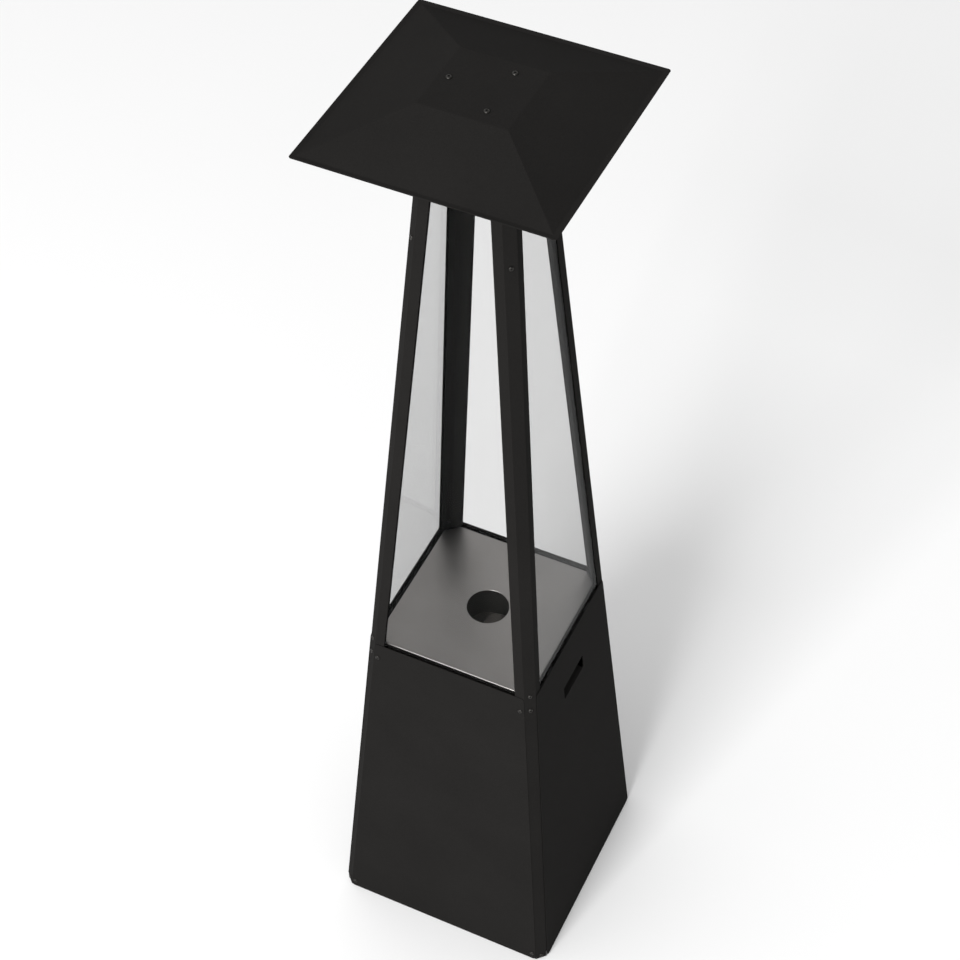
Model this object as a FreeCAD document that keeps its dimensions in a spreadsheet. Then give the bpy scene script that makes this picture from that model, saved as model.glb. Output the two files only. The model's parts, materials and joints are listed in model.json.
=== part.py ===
import FreeCAD, Part
import math
import os
import re
import Sketcher
from FreeCAD import Placement, Rotation, Vector

# Outdoor gas heater in the form of a slim truncated pyramid.
# Origin: middle of the footprint on the floor. +Z up, the access door faces +X.
# All four sides lean inwards by the same slope, so a horizontal section only moves
# towards the axis as it rises.

doc = FreeCAD.newDocument("PyramidHeater")
sheet = doc.addObject("Spreadsheet::Sheet", "Sizes")
names = {}
finished = []


def size(alias, value):
    """Put one named size in the spreadsheet and give it back as a number."""
    row = len(names) + 1
    sheet.set(f"A{row}", alias)
    sheet.set(f"B{row}", repr(float(value)))
    sheet.setAlias(f"B{row}", alias)
    names[alias] = float(value)
    return float(value)


# ---- overall form ----
base_half = size("base_half", 248.0)          # half width over the post faces, at the floor
head_half = size("head_half", 82.5)           # the same at head_height
head_height = size("head_height", 2100.0)
lean = size("lean", (base_half - head_half) / head_height)
lean_angle = size("lean_angle", math.degrees(math.atan(lean)))
lean_cos = math.cos(math.radians(lean_angle))

# ---- corner posts: folded strips with a flat over the corner and a wing on each face ----
corner_flat = size("corner_flat", 25.0)
corner_cut = size("corner_cut", corner_flat / math.sqrt(2))
mitre = size("mitre", 2 - math.sqrt(2))       # a cut corner shrinks by this much of an even inset
wing = size("wing", 20.0)
post_sheet = size("post_sheet", 1.5)
post_foot = size("post_foot", 3.0)
post_top = size("post_top", 2080.0)
post_foot_half = size("post_foot_half", base_half - lean * post_foot)

# ---- glass ----
pane = size("pane", 4.0)
pane_gap = size("pane_gap", 0.3)              # tape between the pane and what holds it
pane_foot = size("pane_foot", 840.0)
pane_top = size("pane_top", 2030.0)
pane_edge_gap = size("pane_edge_gap", 4.0)    # from the post's bend to the pane's edge

# ---- clamp strips behind the panes ----
clamp_sheet = size("clamp_sheet", 1.2)
clamp_set = size("clamp_set", post_sheet + 2 * pane_gap + pane / lean_cos)
clamp_foot = size("clamp_foot", 800.0)
clamp_top = size("clamp_top", 2030.0)
clamp_foot_half = size("clamp_foot_half", base_half - lean * clamp_foot)
flat_inner = size("flat_inner", corner_cut + math.sqrt(2) * post_sheet)
clamp_inner = size("clamp_inner", flat_inner + math.sqrt(2) * clamp_sheet)

# ---- skin panels of the base ----
panel_sheet = size("panel_sheet", 1.5)
panel_top = size("panel_top", 849.0)
panel_corner = size("panel_corner", 8.0)
door_gap = size("door_gap", 0.5)              # between the posts and the closed door
door_side_gap = size("door_side_gap", 1.0)
slot_width = size("slot_width", 94.0)
slot_height = size("slot_height", 35.0)
slot_foot = size("slot_foot", 704.0)          # lower edge of the pull slot, up the slope
slot_corner = size("slot_corner", 3.0)
lip_width = size("lip_width", 88.0)           # scooped finger lip at the slot's lower edge
lip_radius = size("lip_radius", 18.0)

# ---- deck ----
deck_half = size("deck_half", 170.0)
deck_cut = size("deck_cut", 25.0)
deck_top = size("deck_top", 848.0)
deck_sheet = size("deck_sheet", 1.5)
deck_skirt = size("deck_skirt", 10.0)
burner_opening = size("burner_opening", 43.0)
rail_sheet = size("rail_sheet", 1.5)
rail_foot = size("rail_foot", 797.0)
rail_top = size("rail_top", deck_top - deck_skirt)
rail_half = size("rail_half", 161.0)
ledge_half = size("ledge_half", 140.0)
ledge_depth = size("ledge_depth", 25.0)
pane_block_height = size("pane_block_height", pane_foot - rail_top - pane * lean - 0.05)
pane_block_reach = size("pane_block_reach", 90.0)
pane_block_half = size("pane_block_half", 12.0)

# ---- floor tray and feet ----
tray_foot = size("tray_foot", 5.0)
tray_sheet = size("tray_sheet", 1.5)
tray_rim = size("tray_rim", 35.0)
foot_radius = size("foot_radius", 20.0)
foot_reach = size("foot_reach", 185.0)
foot_bevel = size("foot_bevel", 2.0)

# ---- door hinge ----
hinge_up = size("hinge_up", 20.0)             # pin above the floor, up the slope
hinge_in = size("hinge_in", 7.0)              # pin inside the face of the posts
hinge_pin = size("hinge_pin", 2.5)
hinge_fit = size("hinge_fit", 0.05)
hinge_eye = size("hinge_eye", 5.0)
hinge_plate = size("hinge_plate", 3.0)
hinge_side_gap = size("hinge_side_gap", 0.5)
hinge_span = size("hinge_span", 150.0)
hinge_clear = size("hinge_clear", 3.0)        # the posts' wings stop this far above the pin
pin_x = size("pin_x", base_half - hinge_up * lean * lean_cos - hinge_in * lean_cos)
pin_z = size("pin_z", hinge_up * lean_cos - hinge_in * lean * lean_cos)
lug_rise = size("lug_rise", 24.0)
lug_width = size("lug_width", 16.0)
lug_tip = size("lug_tip", 3.0)
pin_head = size("pin_head", 3.75)
pin_head_depth = size("pin_head_depth", 1.5)
magnet_long = size("magnet_long", 40.0)
magnet_high = size("magnet_high", 12.0)
magnet_gap = size("magnet_gap", 0.1)
magnet_reach = size("magnet_reach", 80.0)
sill_set = size("sill_set", 29.0)             # sill face inside the post faces
sill_sheet = size("sill_sheet", 1.5)
sill_leg = size("sill_leg", 20.0)
sill_half = size("sill_half", 225.0)

# ---- head frame and hood ----
frame_foot = size("frame_foot", 2038.0)
frame_top = size("frame_top", 2078.0)
frame_sheet = size("frame_sheet", 1.5)
flue_radius = size("flue_radius", 50.0)
hood_top = size("hood_top", 2155.0)
hood_crown_half = size("hood_crown_half", 80.0)
hood_crease_half = size("hood_crease_half", 220.0)
hood_half = size("hood_half", 230.0)
hood_drop = size("hood_drop", 50.5)
hood_sheet = size("hood_sheet", 1.5)
hood_rim_lift = size("hood_rim_lift", 0.5)
hood_corner = size("hood_corner", 5.0)
stud_ring = size("stud_ring", 61.0)
stud_radius = size("stud_radius", 6.0)
stud_thread = size("stud_thread", 3.0)

# ---- burner ----
cup_radius = size("cup_radius", 54.0)
cup_sheet = size("cup_sheet", 1.2)
cup_depth = size("cup_depth", 84.0)
cup_floor = size("cup_floor", deck_top - deck_sheet - cup_depth + cup_sheet)
burner_x = size("burner_x", 16.0)
burner_y = size("burner_y", 8.0)
cup_flange = size("cup_flange", 66.0)
head_radius = size("head_radius", 30.0)
head_rise = size("head_rise", 26.0)
head_wall = size("head_wall", 1.5)
head_bevel = size("head_bevel", 3.0)
mixer_radius = size("mixer_radius", 14.0)
mixer_wall = size("mixer_wall", 1.5)
mixer_length = size("mixer_length", 100.0)
mixer_lap = size("mixer_lap", 5.0)
mixer_foot = size("mixer_foot", cup_floor + mixer_lap - mixer_length)
port_radius = size("port_radius", 2.0)
port_count = 16
air_count = 4
air_radius = size("air_radius", 5.0)
air_rise = size("air_rise", 16.0)
fit = size("fit", 0.1)                        # still fits between round pieces
jet_radius = size("jet_radius", 8.0)
jet_stem = size("jet_stem", 12.0)
jet_plug = size("jet_plug", 4.0)
jet_nose = size("jet_nose", 3.0)
jet_nose_length = size("jet_nose_length", 5.0)
probe_ring = size("probe_ring", 36.0)
probe_radius = size("probe_radius", 4.0)
probe_drop = size("probe_drop", 14.0)
probe_foot = size("probe_foot", cup_floor - probe_drop)
probe_body = size("probe_body", 22.0)
probe_cone = size("probe_cone", 2.0)
probe_length = size("probe_length", 40.0)

# ---- controls ----
panel_x = size("panel_x", 112.0)              # back of the control plate
control_reach = size("control_reach", 172.0)
boss_radius = size("boss_radius", 8.0)
boss_proud = size("boss_proud", 3.0)
spindle_deep = size("spindle_deep", 14.0)
spindle_proud = size("spindle_proud", 24.0)
spindle_spare = size("spindle_spare", 0.5)     # room left behind the pressed spindle
bezel = size("bezel", 2.0)
bezel_lap = size("bezel_lap", 3.0)
igniter_seat = size("igniter_seat", 18.0)
switch_y = size("switch_y", 45.0)
switch_deep = size("switch_deep", 16.0)
switch_half = size("switch_half", 12.0)
switch_rise = size("switch_rise", 16.0)
inlet_collar = size("inlet_collar", 6.0)
control_sheet = size("control_sheet", 1.5)
control_half = size("control_half", 85.0)
control_foot = size("control_foot", 690.0)
control_z = size("control_z", 760.0)
valve_half = size("valve_half", 20.0)
valve_depth = size("valve_depth", 42.0)
valve_rise = size("valve_rise", 25.0)
spindle_radius = size("spindle_radius", 4.0)
knob_radius = size("knob_radius", 24.0)
knob_depth = size("knob_depth", 24.0)
knob_skirt = size("knob_skirt", 7.0)
knob_waist = size("knob_waist", 19.2)          # radii above the skirt, below the face, and of the face
knob_neck = size("knob_neck", 18.0)
knob_face = size("knob_face", 16.32)
knob_crown = size("knob_crown", 6.0)
pointer_half = size("pointer_half", 14.4)
pointer_wide = size("pointer_wide", 4.0)
pointer_rise = size("pointer_rise", 2.5)
press_travel = size("press_travel", 3.0)       # the knob is pressed in to open the pilot
knob_gap = size("knob_gap", press_travel + 1.0)
igniter_y = size("igniter_y", -58.0)
igniter_radius = size("igniter_radius", 11.0)
igniter_length = size("igniter_length", 46.0)
button_radius = size("button_radius", 7.5)
button_travel = size("button_travel", 6.0)
button_proud = size("button_proud", 9.0)
button_bevel = size("button_bevel", 1.0)
slide_fit = size("slide_fit", 0.08)
spring_wire = size("spring_wire", 0.8)
spring_radius = size("spring_radius", 5.5)
spring_length = size("spring_length", 7.4)     # pressed length
spring_turns = size("spring_turns", 4.0)
pipe_radius = size("pipe_radius", 4.0)
gas_bend = size("gas_bend", 12.0)
gas_outlet = size("gas_outlet", 12.0)         # outlet above the valve's underside
gas_run = size("gas_run", 20.0)               # straight run behind the valve
gas_dip = size("gas_dip", 28.0)               # loop under the jet
lead_bend = size("lead_bend", 7.0)
pilot_dip = size("pilot_dip", 44.7)           # loops of the leads under the probes
couple_dip = size("couple_dip", 34.7)
spark_dip = size("spark_dip", 25.7)
pilot_run = size("pilot_run", 18.0)
spark_run = size("spark_run", 36.0)
couple_in = size("couple_in", 27.0)           # where the thermocouple lead enters the valve's side
couple_out = size("couple_out", 18.0)
couple_drop = size("couple_drop", 10.0)
pilot_radius = size("pilot_radius", 2.0)
lead_radius = size("lead_radius", 1.5)
inlet_radius = size("inlet_radius", 5.0)
inlet_length = size("inlet_length", 22.0)
inlet_nut = size("inlet_nut", 8.0)
inlet_bevel = size("inlet_bevel", 1.0)
control_screw_x = size("control_screw_x", 163.0)
control_screw_y = size("control_screw_y", 60.0)

# ---- fasteners ----
screw_head = size("screw_head", 4.6)
screw_head_rise = size("screw_head_rise", 2.6)
head_shoulder = size("head_shoulder", 0.93)   # of the head's radius, at half its height
head_flat = size("head_flat", 0.6)            # of the head's radius, on top
large_wide = size("large_wide", 1.2)          # the hood's screws against the others
large_rise = size("large_rise", 1.15)
large_reach = size("large_reach", 15.0)
screw_shank = size("screw_shank", 2.5)
screw_hole = size("screw_hole", 2.6)
screw_reach = size("screw_reach", 5.0)
screw_edge = size("screw_edge", 9.0)
joint_low = size("joint_low", 812.0)
joint_high = size("joint_high", 852.0)
clamp_screw = size("clamp_screw", 1880.0)
frame_screw = size("frame_screw", 2058.0)
foot_screw = size("foot_screw", 12.0)
skirt_screw = size("skirt_screw", 21.0)
drill_reach = size("drill_reach", 12.0)       # how far a drill goes each way from the screw's seat
short_drill = size("short_drill", 4.0)
drill_margin = size("drill_margin", 4.0)
past = size("past", 1.0)                      # how far a cutting shape goes past a face

doc.recompute()


# ---- helpers ----
SKETCH_START = 10.0     # rough first size of sketch lines, before their formulas place them


def bound(text):
    """Turn a formula in size names into one that reads the spreadsheet."""
    def named(word):
        return f"Sizes.{word.group()}" if word.group() in names else word.group()

    return re.sub(r"[a-z][a-z_]+", named, text)


def half_at(height):
    """Half width over the post faces at a height above the floor."""
    return base_half - lean * height


def new_body(label):
    body = doc.addObject("PartDesign::Body", label)
    body.Label = label
    return body


def plane_of(body, role):
    return next(item for item in body.Origin.OriginFeatures if item.Role == role)


def new_sketch(body, role, offset="0"):
    sketch = body.newObject("Sketcher::SketchObject", body.Name + "Sketch")
    sketch.AttachmentSupport = (plane_of(body, role), "")
    sketch.MapMode = "FlatFace"
    sketch.setExpression("AttachmentOffset.Base.z", bound(offset))
    return sketch


def outline(body, role, points, offset="0"):
    """A closed polygon whose corner coordinates are formulas in size names."""
    sketch = new_sketch(body, role, offset)
    count = len(points)
    around = [math.tau * i / count for i in range(count)]
    start = [Vector(math.cos(angle), math.sin(angle), 0) * SKETCH_START for angle in around]
    for i in range(count):
        sketch.addGeometry(Part.LineSegment(start[i], start[(i + 1) % count]), False)
    for i in range(count):
        sketch.addConstraint(Sketcher.Constraint("Coincident", i, 2, (i + 1) % count, 1))
    for i, point in enumerate(points):
        for kind, formula, now in (("DistanceX", point[0], start[i].x), ("DistanceY", point[1], start[i].y)):
            index = sketch.addConstraint(Sketcher.Constraint(kind, -1, 1, i, 1, now + 1.0))
            sketch.setExpression(f"Constraints[{index}]", bound(formula))
    return sketch


def circles(body, role, rounds, offset="0"):
    """Circles, each given as formulas for its centre and radius."""
    sketch = new_sketch(body, role, offset)
    for i, (x, y, radius) in enumerate(rounds):
        start = Vector((i + 1) * SKETCH_START, SKETCH_START, 0)
        sketch.addGeometry(Part.Circle(start, Vector(0, 0, 1), SKETCH_START / 3), False)
        for kind, formula, now in (("DistanceX", x, start.x), ("DistanceY", y, start.y)):
            index = sketch.addConstraint(Sketcher.Constraint(kind, -1, 1, i, 3, now + 0.5))
            sketch.setExpression(f"Constraints[{index}]", bound(formula))
        index = sketch.addConstraint(Sketcher.Constraint("Radius", i, SKETCH_START / 3))
        sketch.setExpression(f"Constraints[{index}]", bound(radius))
    return sketch


def pad(body, sketch, length, middle=False, reverse=False):
    feature = body.newObject("PartDesign::Pad", body.Name + "Pad")
    feature.Profile = sketch
    feature.Midplane = middle
    feature.Reversed = reverse
    feature.setExpression("Length", bound(length))
    body.Tip = feature
    return feature


def pocket(body, sketch, length, reverse=False, middle=False):
    """Cut a sketch out of the body, and stop if nothing was cut."""
    doc.recompute()
    before = body.Shape.Volume
    feature = body.newObject("PartDesign::Pocket", body.Name + "Pocket")
    feature.Profile = sketch
    feature.Reversed = reverse
    feature.Midplane = middle
    feature.setExpression("Length", bound(length))
    body.Tip = feature
    doc.recompute()
    if body.Shape.Volume > before - 1.0:
        raise RuntimeError(f"{body.Label}: a pocket cut nothing")
    return feature


def revolve(label, points):
    """A round piece from a half section in the XZ plane, turned about the Z axis."""
    body = new_body(label)
    sketch = outline(body, "XZ_Plane", points)
    feature = body.newObject("PartDesign::Revolution", body.Name + "Turn")
    feature.Profile = sketch
    feature.ReferenceAxis = (plane_of(body, "Z_Axis"), [""])
    feature.Angle = 360
    body.Tip = feature
    doc.recompute()
    return body


def round_edges(body, radius, chosen):
    """Fillet the edges of the body that the test picks."""
    doc.recompute()
    base = body.Tip
    picked = [f"Edge{i + 1}" for i, edge in enumerate(base.Shape.Edges) if chosen(edge)]
    feature = body.newObject("PartDesign::Fillet", body.Name + "Fillet")
    feature.Base = (base, picked)
    feature.setExpression("Radius", bound(radius))
    body.Tip = feature
    doc.recompute()


def along(edge, direction):
    """True for a straight edge that runs in a direction."""
    if len(edge.Vertexes) != 2 or edge.Curve.TypeId != "Part::GeomLine":
        return False
    run = edge.Vertexes[1].Point - edge.Vertexes[0].Point
    return abs(abs(run.normalize().dot(direction)) - 1) < 1e-6


def box(label, low, high):
    """A Part box between two corners, each given as formulas."""
    block = doc.addObject("Part::Box", label)
    for axis, name in enumerate(("Length", "Width", "Height")):
        block.setExpression(name, bound(f"({high[axis]}) - ({low[axis]})"))
        block.setExpression(f"Placement.Base.{'xyz'[axis]}", bound(low[axis]))
    return block


def rod(label, radius, length, place):
    """A Part cylinder that starts at a placement and runs along its local Z."""
    cylinder = doc.addObject("Part::Cylinder", label)
    cylinder.setExpression("Radius", bound(radius))
    cylinder.setExpression("Height", bound(length))
    cylinder.Placement = place
    return cylinder


def joined(label, parts):
    fuse = doc.addObject("Part::MultiFuse", label)
    fuse.Shapes = parts
    return fuse


def cut(label, base, tools):
    """The base less every tool; several tools are joined first."""
    result = doc.addObject("Part::Cut", label)
    result.Base = base
    result.Tool = tools[0] if len(tools) == 1 else joined(label + "Tools", tools)
    return result


def from_shape(label, shape, place=None):
    feature = doc.addObject("Part::Feature", label)
    feature.Shape = shape
    feature.Placement = place if place else Placement()
    return feature


def finish(item, node):
    """Name a finished piece; its file takes the same name."""
    item.Label = node
    finished.append(item)
    return item


def copies(pattern, node, places):
    """One node with a copy of a shape at each place, every copy a solid of its own."""
    shapes = [pattern.transformed(place.toMatrix()) for place in places]
    finish(from_shape(node, Part.makeCompound(shapes)), node)


def aim(point, direction):
    """A placement at a point whose local Z runs along a direction."""
    return Placement(point, Rotation(Vector(0, 0, 1), direction))


# ---- faces and corners ----
FACES = (("front", 0), ("right", 90), ("rear", 180), ("left", 270))
CORNERS = (("front_left", -1, -1), ("front_right", 1, -1), ("rear_left", -1, 1), ("rear_right", 1, 1))
SCREWED_FACES = ("front", "rear", "left")


def turn(angle):
    return Placement(Vector(), Rotation(Vector(0, 0, 1), angle))


def face_frame(angle, set_in=0.0):
    """Local frame of a leaning face: X across, Y up the slope, Z outwards, origin at the floor."""
    leaning = Placement(Vector(0, set_in - base_half, 0), Rotation(Vector(1, 0, 0), 90 - lean_angle))
    return turn(angle).multiply(leaning)


def up_slope(height):
    return height / lean_cos


def corner_normal(sx, sy):
    """Outward normal of the flat over a corner."""
    return Vector(sx, sy, 2 * lean).normalize()


def corner_point(sx, sy, height):
    """Middle of the corner flat's outer face at a height."""
    reach = half_at(height) - corner_cut / 2
    return Vector(sx * reach, sy * reach, height)


def wing_screws():
    """Places and outward directions of the screws that hold the fixed panels."""
    spots = []
    for face, angle in FACES:
        if face not in SCREWED_FACES:
            continue
        for height in (joint_low, skirt_screw):
            across = half_at(height) - corner_cut - screw_edge
            for side in (-1, 1):
                local = Vector(side * across, up_slope(height), 0)
                frame = face_frame(angle)
                spots.append((frame.multVec(local), frame.Rotation.multVec(Vector(0, 0, 1))))
    return spots


def corner_screws(heights):
    return [(corner_point(sx, sy, height), corner_normal(sx, sy))
            for _, sx, sy in CORNERS for height in heights]


WING_SPOTS = wing_screws()
CONTROL_SPOTS = [(Vector(control_screw_x, side * control_screw_y, rail_top), Vector(0, 0, 1))
                 for side in (-1, 1)]
CORNER_SPOTS = corner_screws((foot_screw, joint_low, joint_high, clamp_screw, frame_screw))


def drills(label, spots, shape, reach=drill_reach):
    """Cylinders for the screws whose place lies close to a shape's box."""
    near = []
    room = shape.BoundBox
    room.enlarge(drill_margin)
    for i, (point, normal) in enumerate(spots):
        if room.isInside(point):
            start = aim(point - normal * reach, normal)
            near.append(rod(f"{label}Drill{i}", "screw_hole", f"{2 * reach}", start))
    return near


# ---- posts ----
def corner_strip(label, sx, sy, half, set_in, flat, sheet_name, flat_back, foot, top):
    """Folded strip that follows a leaning corner: a flat over the corner and two wings."""
    body = new_body(label)
    end = f"{half} - corner_cut - wing"
    back = f"{set_in} + {sheet_name}"
    outer = (
        (end, f"{half} - ({set_in})"),
        (f"{half} - {flat} + ({set_in})", f"{half} - ({set_in})"),
        (f"{half} - ({set_in})", f"{half} - {flat} + ({set_in})"),
        (f"{half} - ({set_in})", end),
        (f"{half} - ({back})", end),
        (f"{half} - ({back})", f"{half} - {flat_back} + ({back})"),
        (f"{half} - {flat_back} + ({back})", f"{half} - ({back})"),
        (end, f"{half} - ({back})"),
    )
    points = [(f"{sx} * ({x})", f"{sy} * ({y})") for x, y in outer]
    sketch = outline(body, "XY_Plane", points, foot)
    strip = pad(body, sketch, f"{top} - {foot}")
    strip.UseCustomVector = True
    strip.AlongSketchNormal = True
    strip.Direction = Vector(-sx * lean, -sy * lean, 1)
    strip.setExpression("Direction.x", bound(f"{-sx} * lean"))
    strip.setExpression("Direction.y", bound(f"{-sy} * lean"))
    doc.recompute()
    return body


def make_posts():
    for corner, sx, sy in CORNERS:
        strip = corner_strip("Post" + corner, sx, sy, "post_foot_half", "0", "corner_cut",
                             "post_sheet", "flat_inner", "post_foot", "post_top")
        tools = drills("Post" + corner, CORNER_SPOTS + WING_SPOTS, strip.Shape)
        if sx > 0:
            side = ("0", "base_half - corner_cut") if sy > 0 else ("corner_cut - base_half", "0")
            tools.append(box("Notch" + corner, ("post_foot_half - post_sheet - past", side[0], "0"),
                             ("base_half + past", side[1], "hinge_up + hinge_clear")))
        finish(cut("post_" + corner, strip, tools), "post_" + corner)


def make_clamps():
    for corner, sx, sy in CORNERS:
        strip = corner_strip("Clamp" + corner, sx, sy, "clamp_foot_half", "clamp_set", "flat_inner",
                             "clamp_sheet", "clamp_inner", "clamp_foot", "clamp_top")
        tools = drills("Clamp" + corner, CORNER_SPOTS, strip.Shape)
        finish(cut("glass_clamp_" + corner, strip, tools), "glass_clamp_" + corner)


# ---- leaning plates: panels, door, panes ----
def plate(label, low, high, inset, thick, offset):
    """Trapezoid in a face's own frame; inset is what its edges keep from the post corners."""
    body = new_body(label)
    low_slope = f"({low}) / cos(lean_angle * 1deg)"
    high_slope = f"({high}) / cos(lean_angle * 1deg)"
    low_half = f"(base_half - lean * ({low}) - {inset})"
    high_half = f"(base_half - lean * ({high}) - {inset})"
    corners = (("-" + low_half, low_slope), (low_half, low_slope),
               (high_half, high_slope), ("-" + high_half, high_slope))
    pad(body, outline(body, "XY_Plane", corners, offset), thick)
    doc.recompute()
    return body


def upright(edge):
    return along(edge, Vector(0, 0, 1))


def make_panels():
    for face, angle in FACES:
        if face not in SCREWED_FACES:
            continue
        skin = plate("Panel" + face, "post_foot", "panel_top", "corner_cut", "panel_sheet", "0")
        round_edges(skin, "panel_corner", upright)
        skin.Placement = face_frame(angle)
        doc.recompute()
        tools = drills("Panel" + face, WING_SPOTS, skin.Shape)
        finish(cut("panel_" + face, skin, tools), "panel_" + face)


def make_panes():
    for face, angle in FACES:
        glass = plate("Pane" + face, "pane_foot", "pane_top", "corner_cut - pane_edge_gap",
                      "pane", "-pane")
        glass.Placement = face_frame(angle, (post_sheet + pane_gap))
        finish(glass, "glass_" + face)


def make_door():
    """Plate over the bottle bay, with a pull slot whose lower edge is scooped into a finger lip."""
    door = plate("Door", "post_foot", "panel_top", "corner_cut - door_side_gap", "panel_sheet", "door_gap")
    round_edges(door, "panel_corner", upright)
    slot = outline(door, "XY_Plane", (("-slot_width / 2", "slot_foot"), ("slot_width / 2", "slot_foot"),
                                      ("slot_width / 2", "slot_foot + slot_height"),
                                      ("-slot_width / 2", "slot_foot + slot_height")), "-past")
    pocket(door, slot, "door_gap + panel_sheet + 2 * past", reverse=True)
    narrow = names["slot_width"] / 2

    def slot_edge(edge):
        at = edge.CenterOfMass
        return upright(edge) and abs(abs(at.x) - narrow) < 0.1 and at.y > slot_foot - past

    round_edges(door, "slot_corner", slot_edge)
    lip = new_body("DoorLip")
    sketch = new_sketch(lip, "YZ_Plane")
    middle = Vector(slot_foot + lip_radius, door_gap, 0)
    outer = lip_radius + panel_sheet
    low = math.pi
    high = 1.5 * math.pi

    def on(radius, angle):
        return middle + Vector(math.cos(angle), math.sin(angle), 0) * radius

    def bow(radius):
        return Part.Arc(on(radius, low), on(radius, (low + high) / 2), on(radius, high))

    for piece in (bow(outer), Part.LineSegment(on(outer, high), on(lip_radius, high)),
                  bow(lip_radius), Part.LineSegment(on(lip_radius, low), on(outer, low))):
        sketch.addGeometry(piece, False)
    pad(lip, sketch, "lip_width", middle=True)
    doc.recompute()
    whole = joined("DoorWhole", [door, lip])
    whole.Placement = face_frame(90)
    doc.recompute()
    finish(whole, "access_door")


# ---- deck, its rails and the blocks under the panes ----
def octagon(half, corner):
    """Corner points of a square with cut corners."""
    near = f"({half}) - ({corner})"
    far_back, near_back = f"-({half})", f"-({near})"
    return ((half, near_back), (half, near), (near, half), (near_back, half),
            (far_back, near), (far_back, near_back), (near_back, far_back), (near, far_back))


def make_rails():
    out = "base_half - lean * rail_top - post_sheet"
    low_out = "base_half - lean * rail_foot - post_sheet"
    web = ((f"-({low_out})", "rail_foot"), (f"-({out})", "rail_top"),
           (f"-({out} - rail_sheet)", "rail_top"), (f"-({low_out} - rail_sheet)", "rail_foot"))
    root = f"-({out} - rail_sheet / 2)"
    tip = f"-({out} - ledge_depth)"
    under = "rail_top - rail_sheet"
    ledge = ((root, "rail_top"), (root, under), (tip, under), (tip, "rail_top"))
    for face, angle in FACES:
        rail = new_body("Rail" + face)
        pad(rail, outline(rail, "YZ_Plane", web), "2 * rail_half", middle=True)
        pad(rail, outline(rail, "YZ_Plane", ledge), "2 * ledge_half", middle=True)
        rail.Placement = turn(angle)
        doc.recompute()
        spots = WING_SPOTS if face in SCREWED_FACES else CONTROL_SPOTS
        tools = drills("Rail" + face, spots, rail.Shape, short_drill)
        finish(cut("deck_rail_" + face, rail, tools), "deck_rail_" + face)


def make_pane_blocks():
    """Small rubber blocks on the ledges, two under each pane."""
    depth = pane / lean_cos
    block = Part.makeBox(2 * pane_block_half, depth, pane_block_height)
    out = post_sheet + pane_gap - half_at(pane_foot)
    spots = [Vector(side * pane_block_reach - pane_block_half, out, rail_top) for side in (-1, 1)]
    copies(block, "glass_blocks", [turn(angle).multiply(Placement(spot, Rotation()))
                                   for _, angle in FACES for spot in spots])


def make_deck():
    deck = new_body("deck_plate")
    pad(deck, outline(deck, "XY_Plane", octagon("deck_half", "deck_cut"), "rail_top"), "deck_skirt")
    inner = octagon("deck_half - deck_sheet", "deck_cut - deck_sheet * mitre")
    pocket(deck, outline(deck, "XY_Plane", inner, "rail_top"), "deck_skirt - deck_sheet", reverse=True)
    pocket(deck, circles(deck, "XY_Plane", [("0", "0", "burner_opening")], "deck_top"), "deck_skirt")
    finish(deck, "deck_plate")


# ---- pans that fill the leaning outline: floor tray and head frame ----
def loft(body, kind, low, high):
    feature = body.newObject(f"PartDesign::{kind}", body.Name + kind)
    feature.Profile = low
    feature.Sections = [high]
    feature.Ruled = True
    body.Tip = feature
    doc.recompute()


def leaning_pan(label, foot, top, thick, open_up):
    """Pan whose rim lies against the inside of the posts and panels, open upwards or downwards."""
    pan = new_body(label)
    corner = "flat_inner - 2 * post_sheet"
    floor = f"{foot} + {thick}" if open_up else foot
    roof = top if open_up else f"{top} - {thick}"

    def ring(height, shrink):
        half = f"base_half - lean * ({height}) - post_sheet - {shrink}"
        return outline(pan, "XY_Plane", octagon(half, f"{corner} - mitre * {shrink}"), height)

    loft(pan, "AdditiveLoft", ring(foot, "0"), ring(top, "0"))
    loft(pan, "SubtractiveLoft", ring(floor, thick), ring(roof, thick))
    return pan


def make_tray():
    pan = leaning_pan("TrayPan", "tray_foot", "tray_rim", "tray_sheet", True)
    side = "base_half - corner_cut"
    bay = box("TrayDoorBay", ("base_half - sill_set", f"-({side})", "0"),
              ("base_half + past", side, "tray_rim + past"))
    tools = [bay] + drills("Tray", CORNER_SPOTS + WING_SPOTS, pan.Shape)
    finish(cut("floor_tray", pan, tools), "floor_tray")
    sill = new_body("door_sill")
    face = "base_half - sill_set"
    low = "tray_foot + tray_sheet"
    angle = ((face, low), (face, "tray_rim"), (f"{face} - sill_sheet", "tray_rim"),
             (f"{face} - sill_sheet", f"{low} + sill_sheet"), (f"{face} - sill_leg", f"{low} + sill_sheet"),
             (f"{face} - sill_leg", low))
    pad(sill, outline(sill, "XZ_Plane", angle), "2 * sill_half", middle=True)
    finish(sill, "door_sill")


def make_feet():
    for corner, sx, sy in CORNERS:
        foot = revolve("foot_" + corner, (("0", "0"), ("foot_radius - foot_bevel", "0"),
                                          ("foot_radius", "foot_bevel"), ("foot_radius", "tray_foot"),
                                          ("0", "tray_foot")))
        foot.Placement = Placement(Vector(sx * foot_reach, sy * foot_reach, 0), Rotation())
        finish(foot, "foot_" + corner)


def make_head_frame():
    pan = leaning_pan("HeadPan", "frame_foot", "frame_top", "frame_sheet", False)
    holes = [("0", "0", "flue_radius")] + [(x, y, "stud_thread + fit") for x, y in STUD_PLACES]
    pocket(pan, circles(pan, "XY_Plane", holes, "frame_top"), "frame_sheet + past")
    finish(cut("head_frame", pan, drills("Head", CORNER_SPOTS, pan.Shape)), "head_frame")


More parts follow.
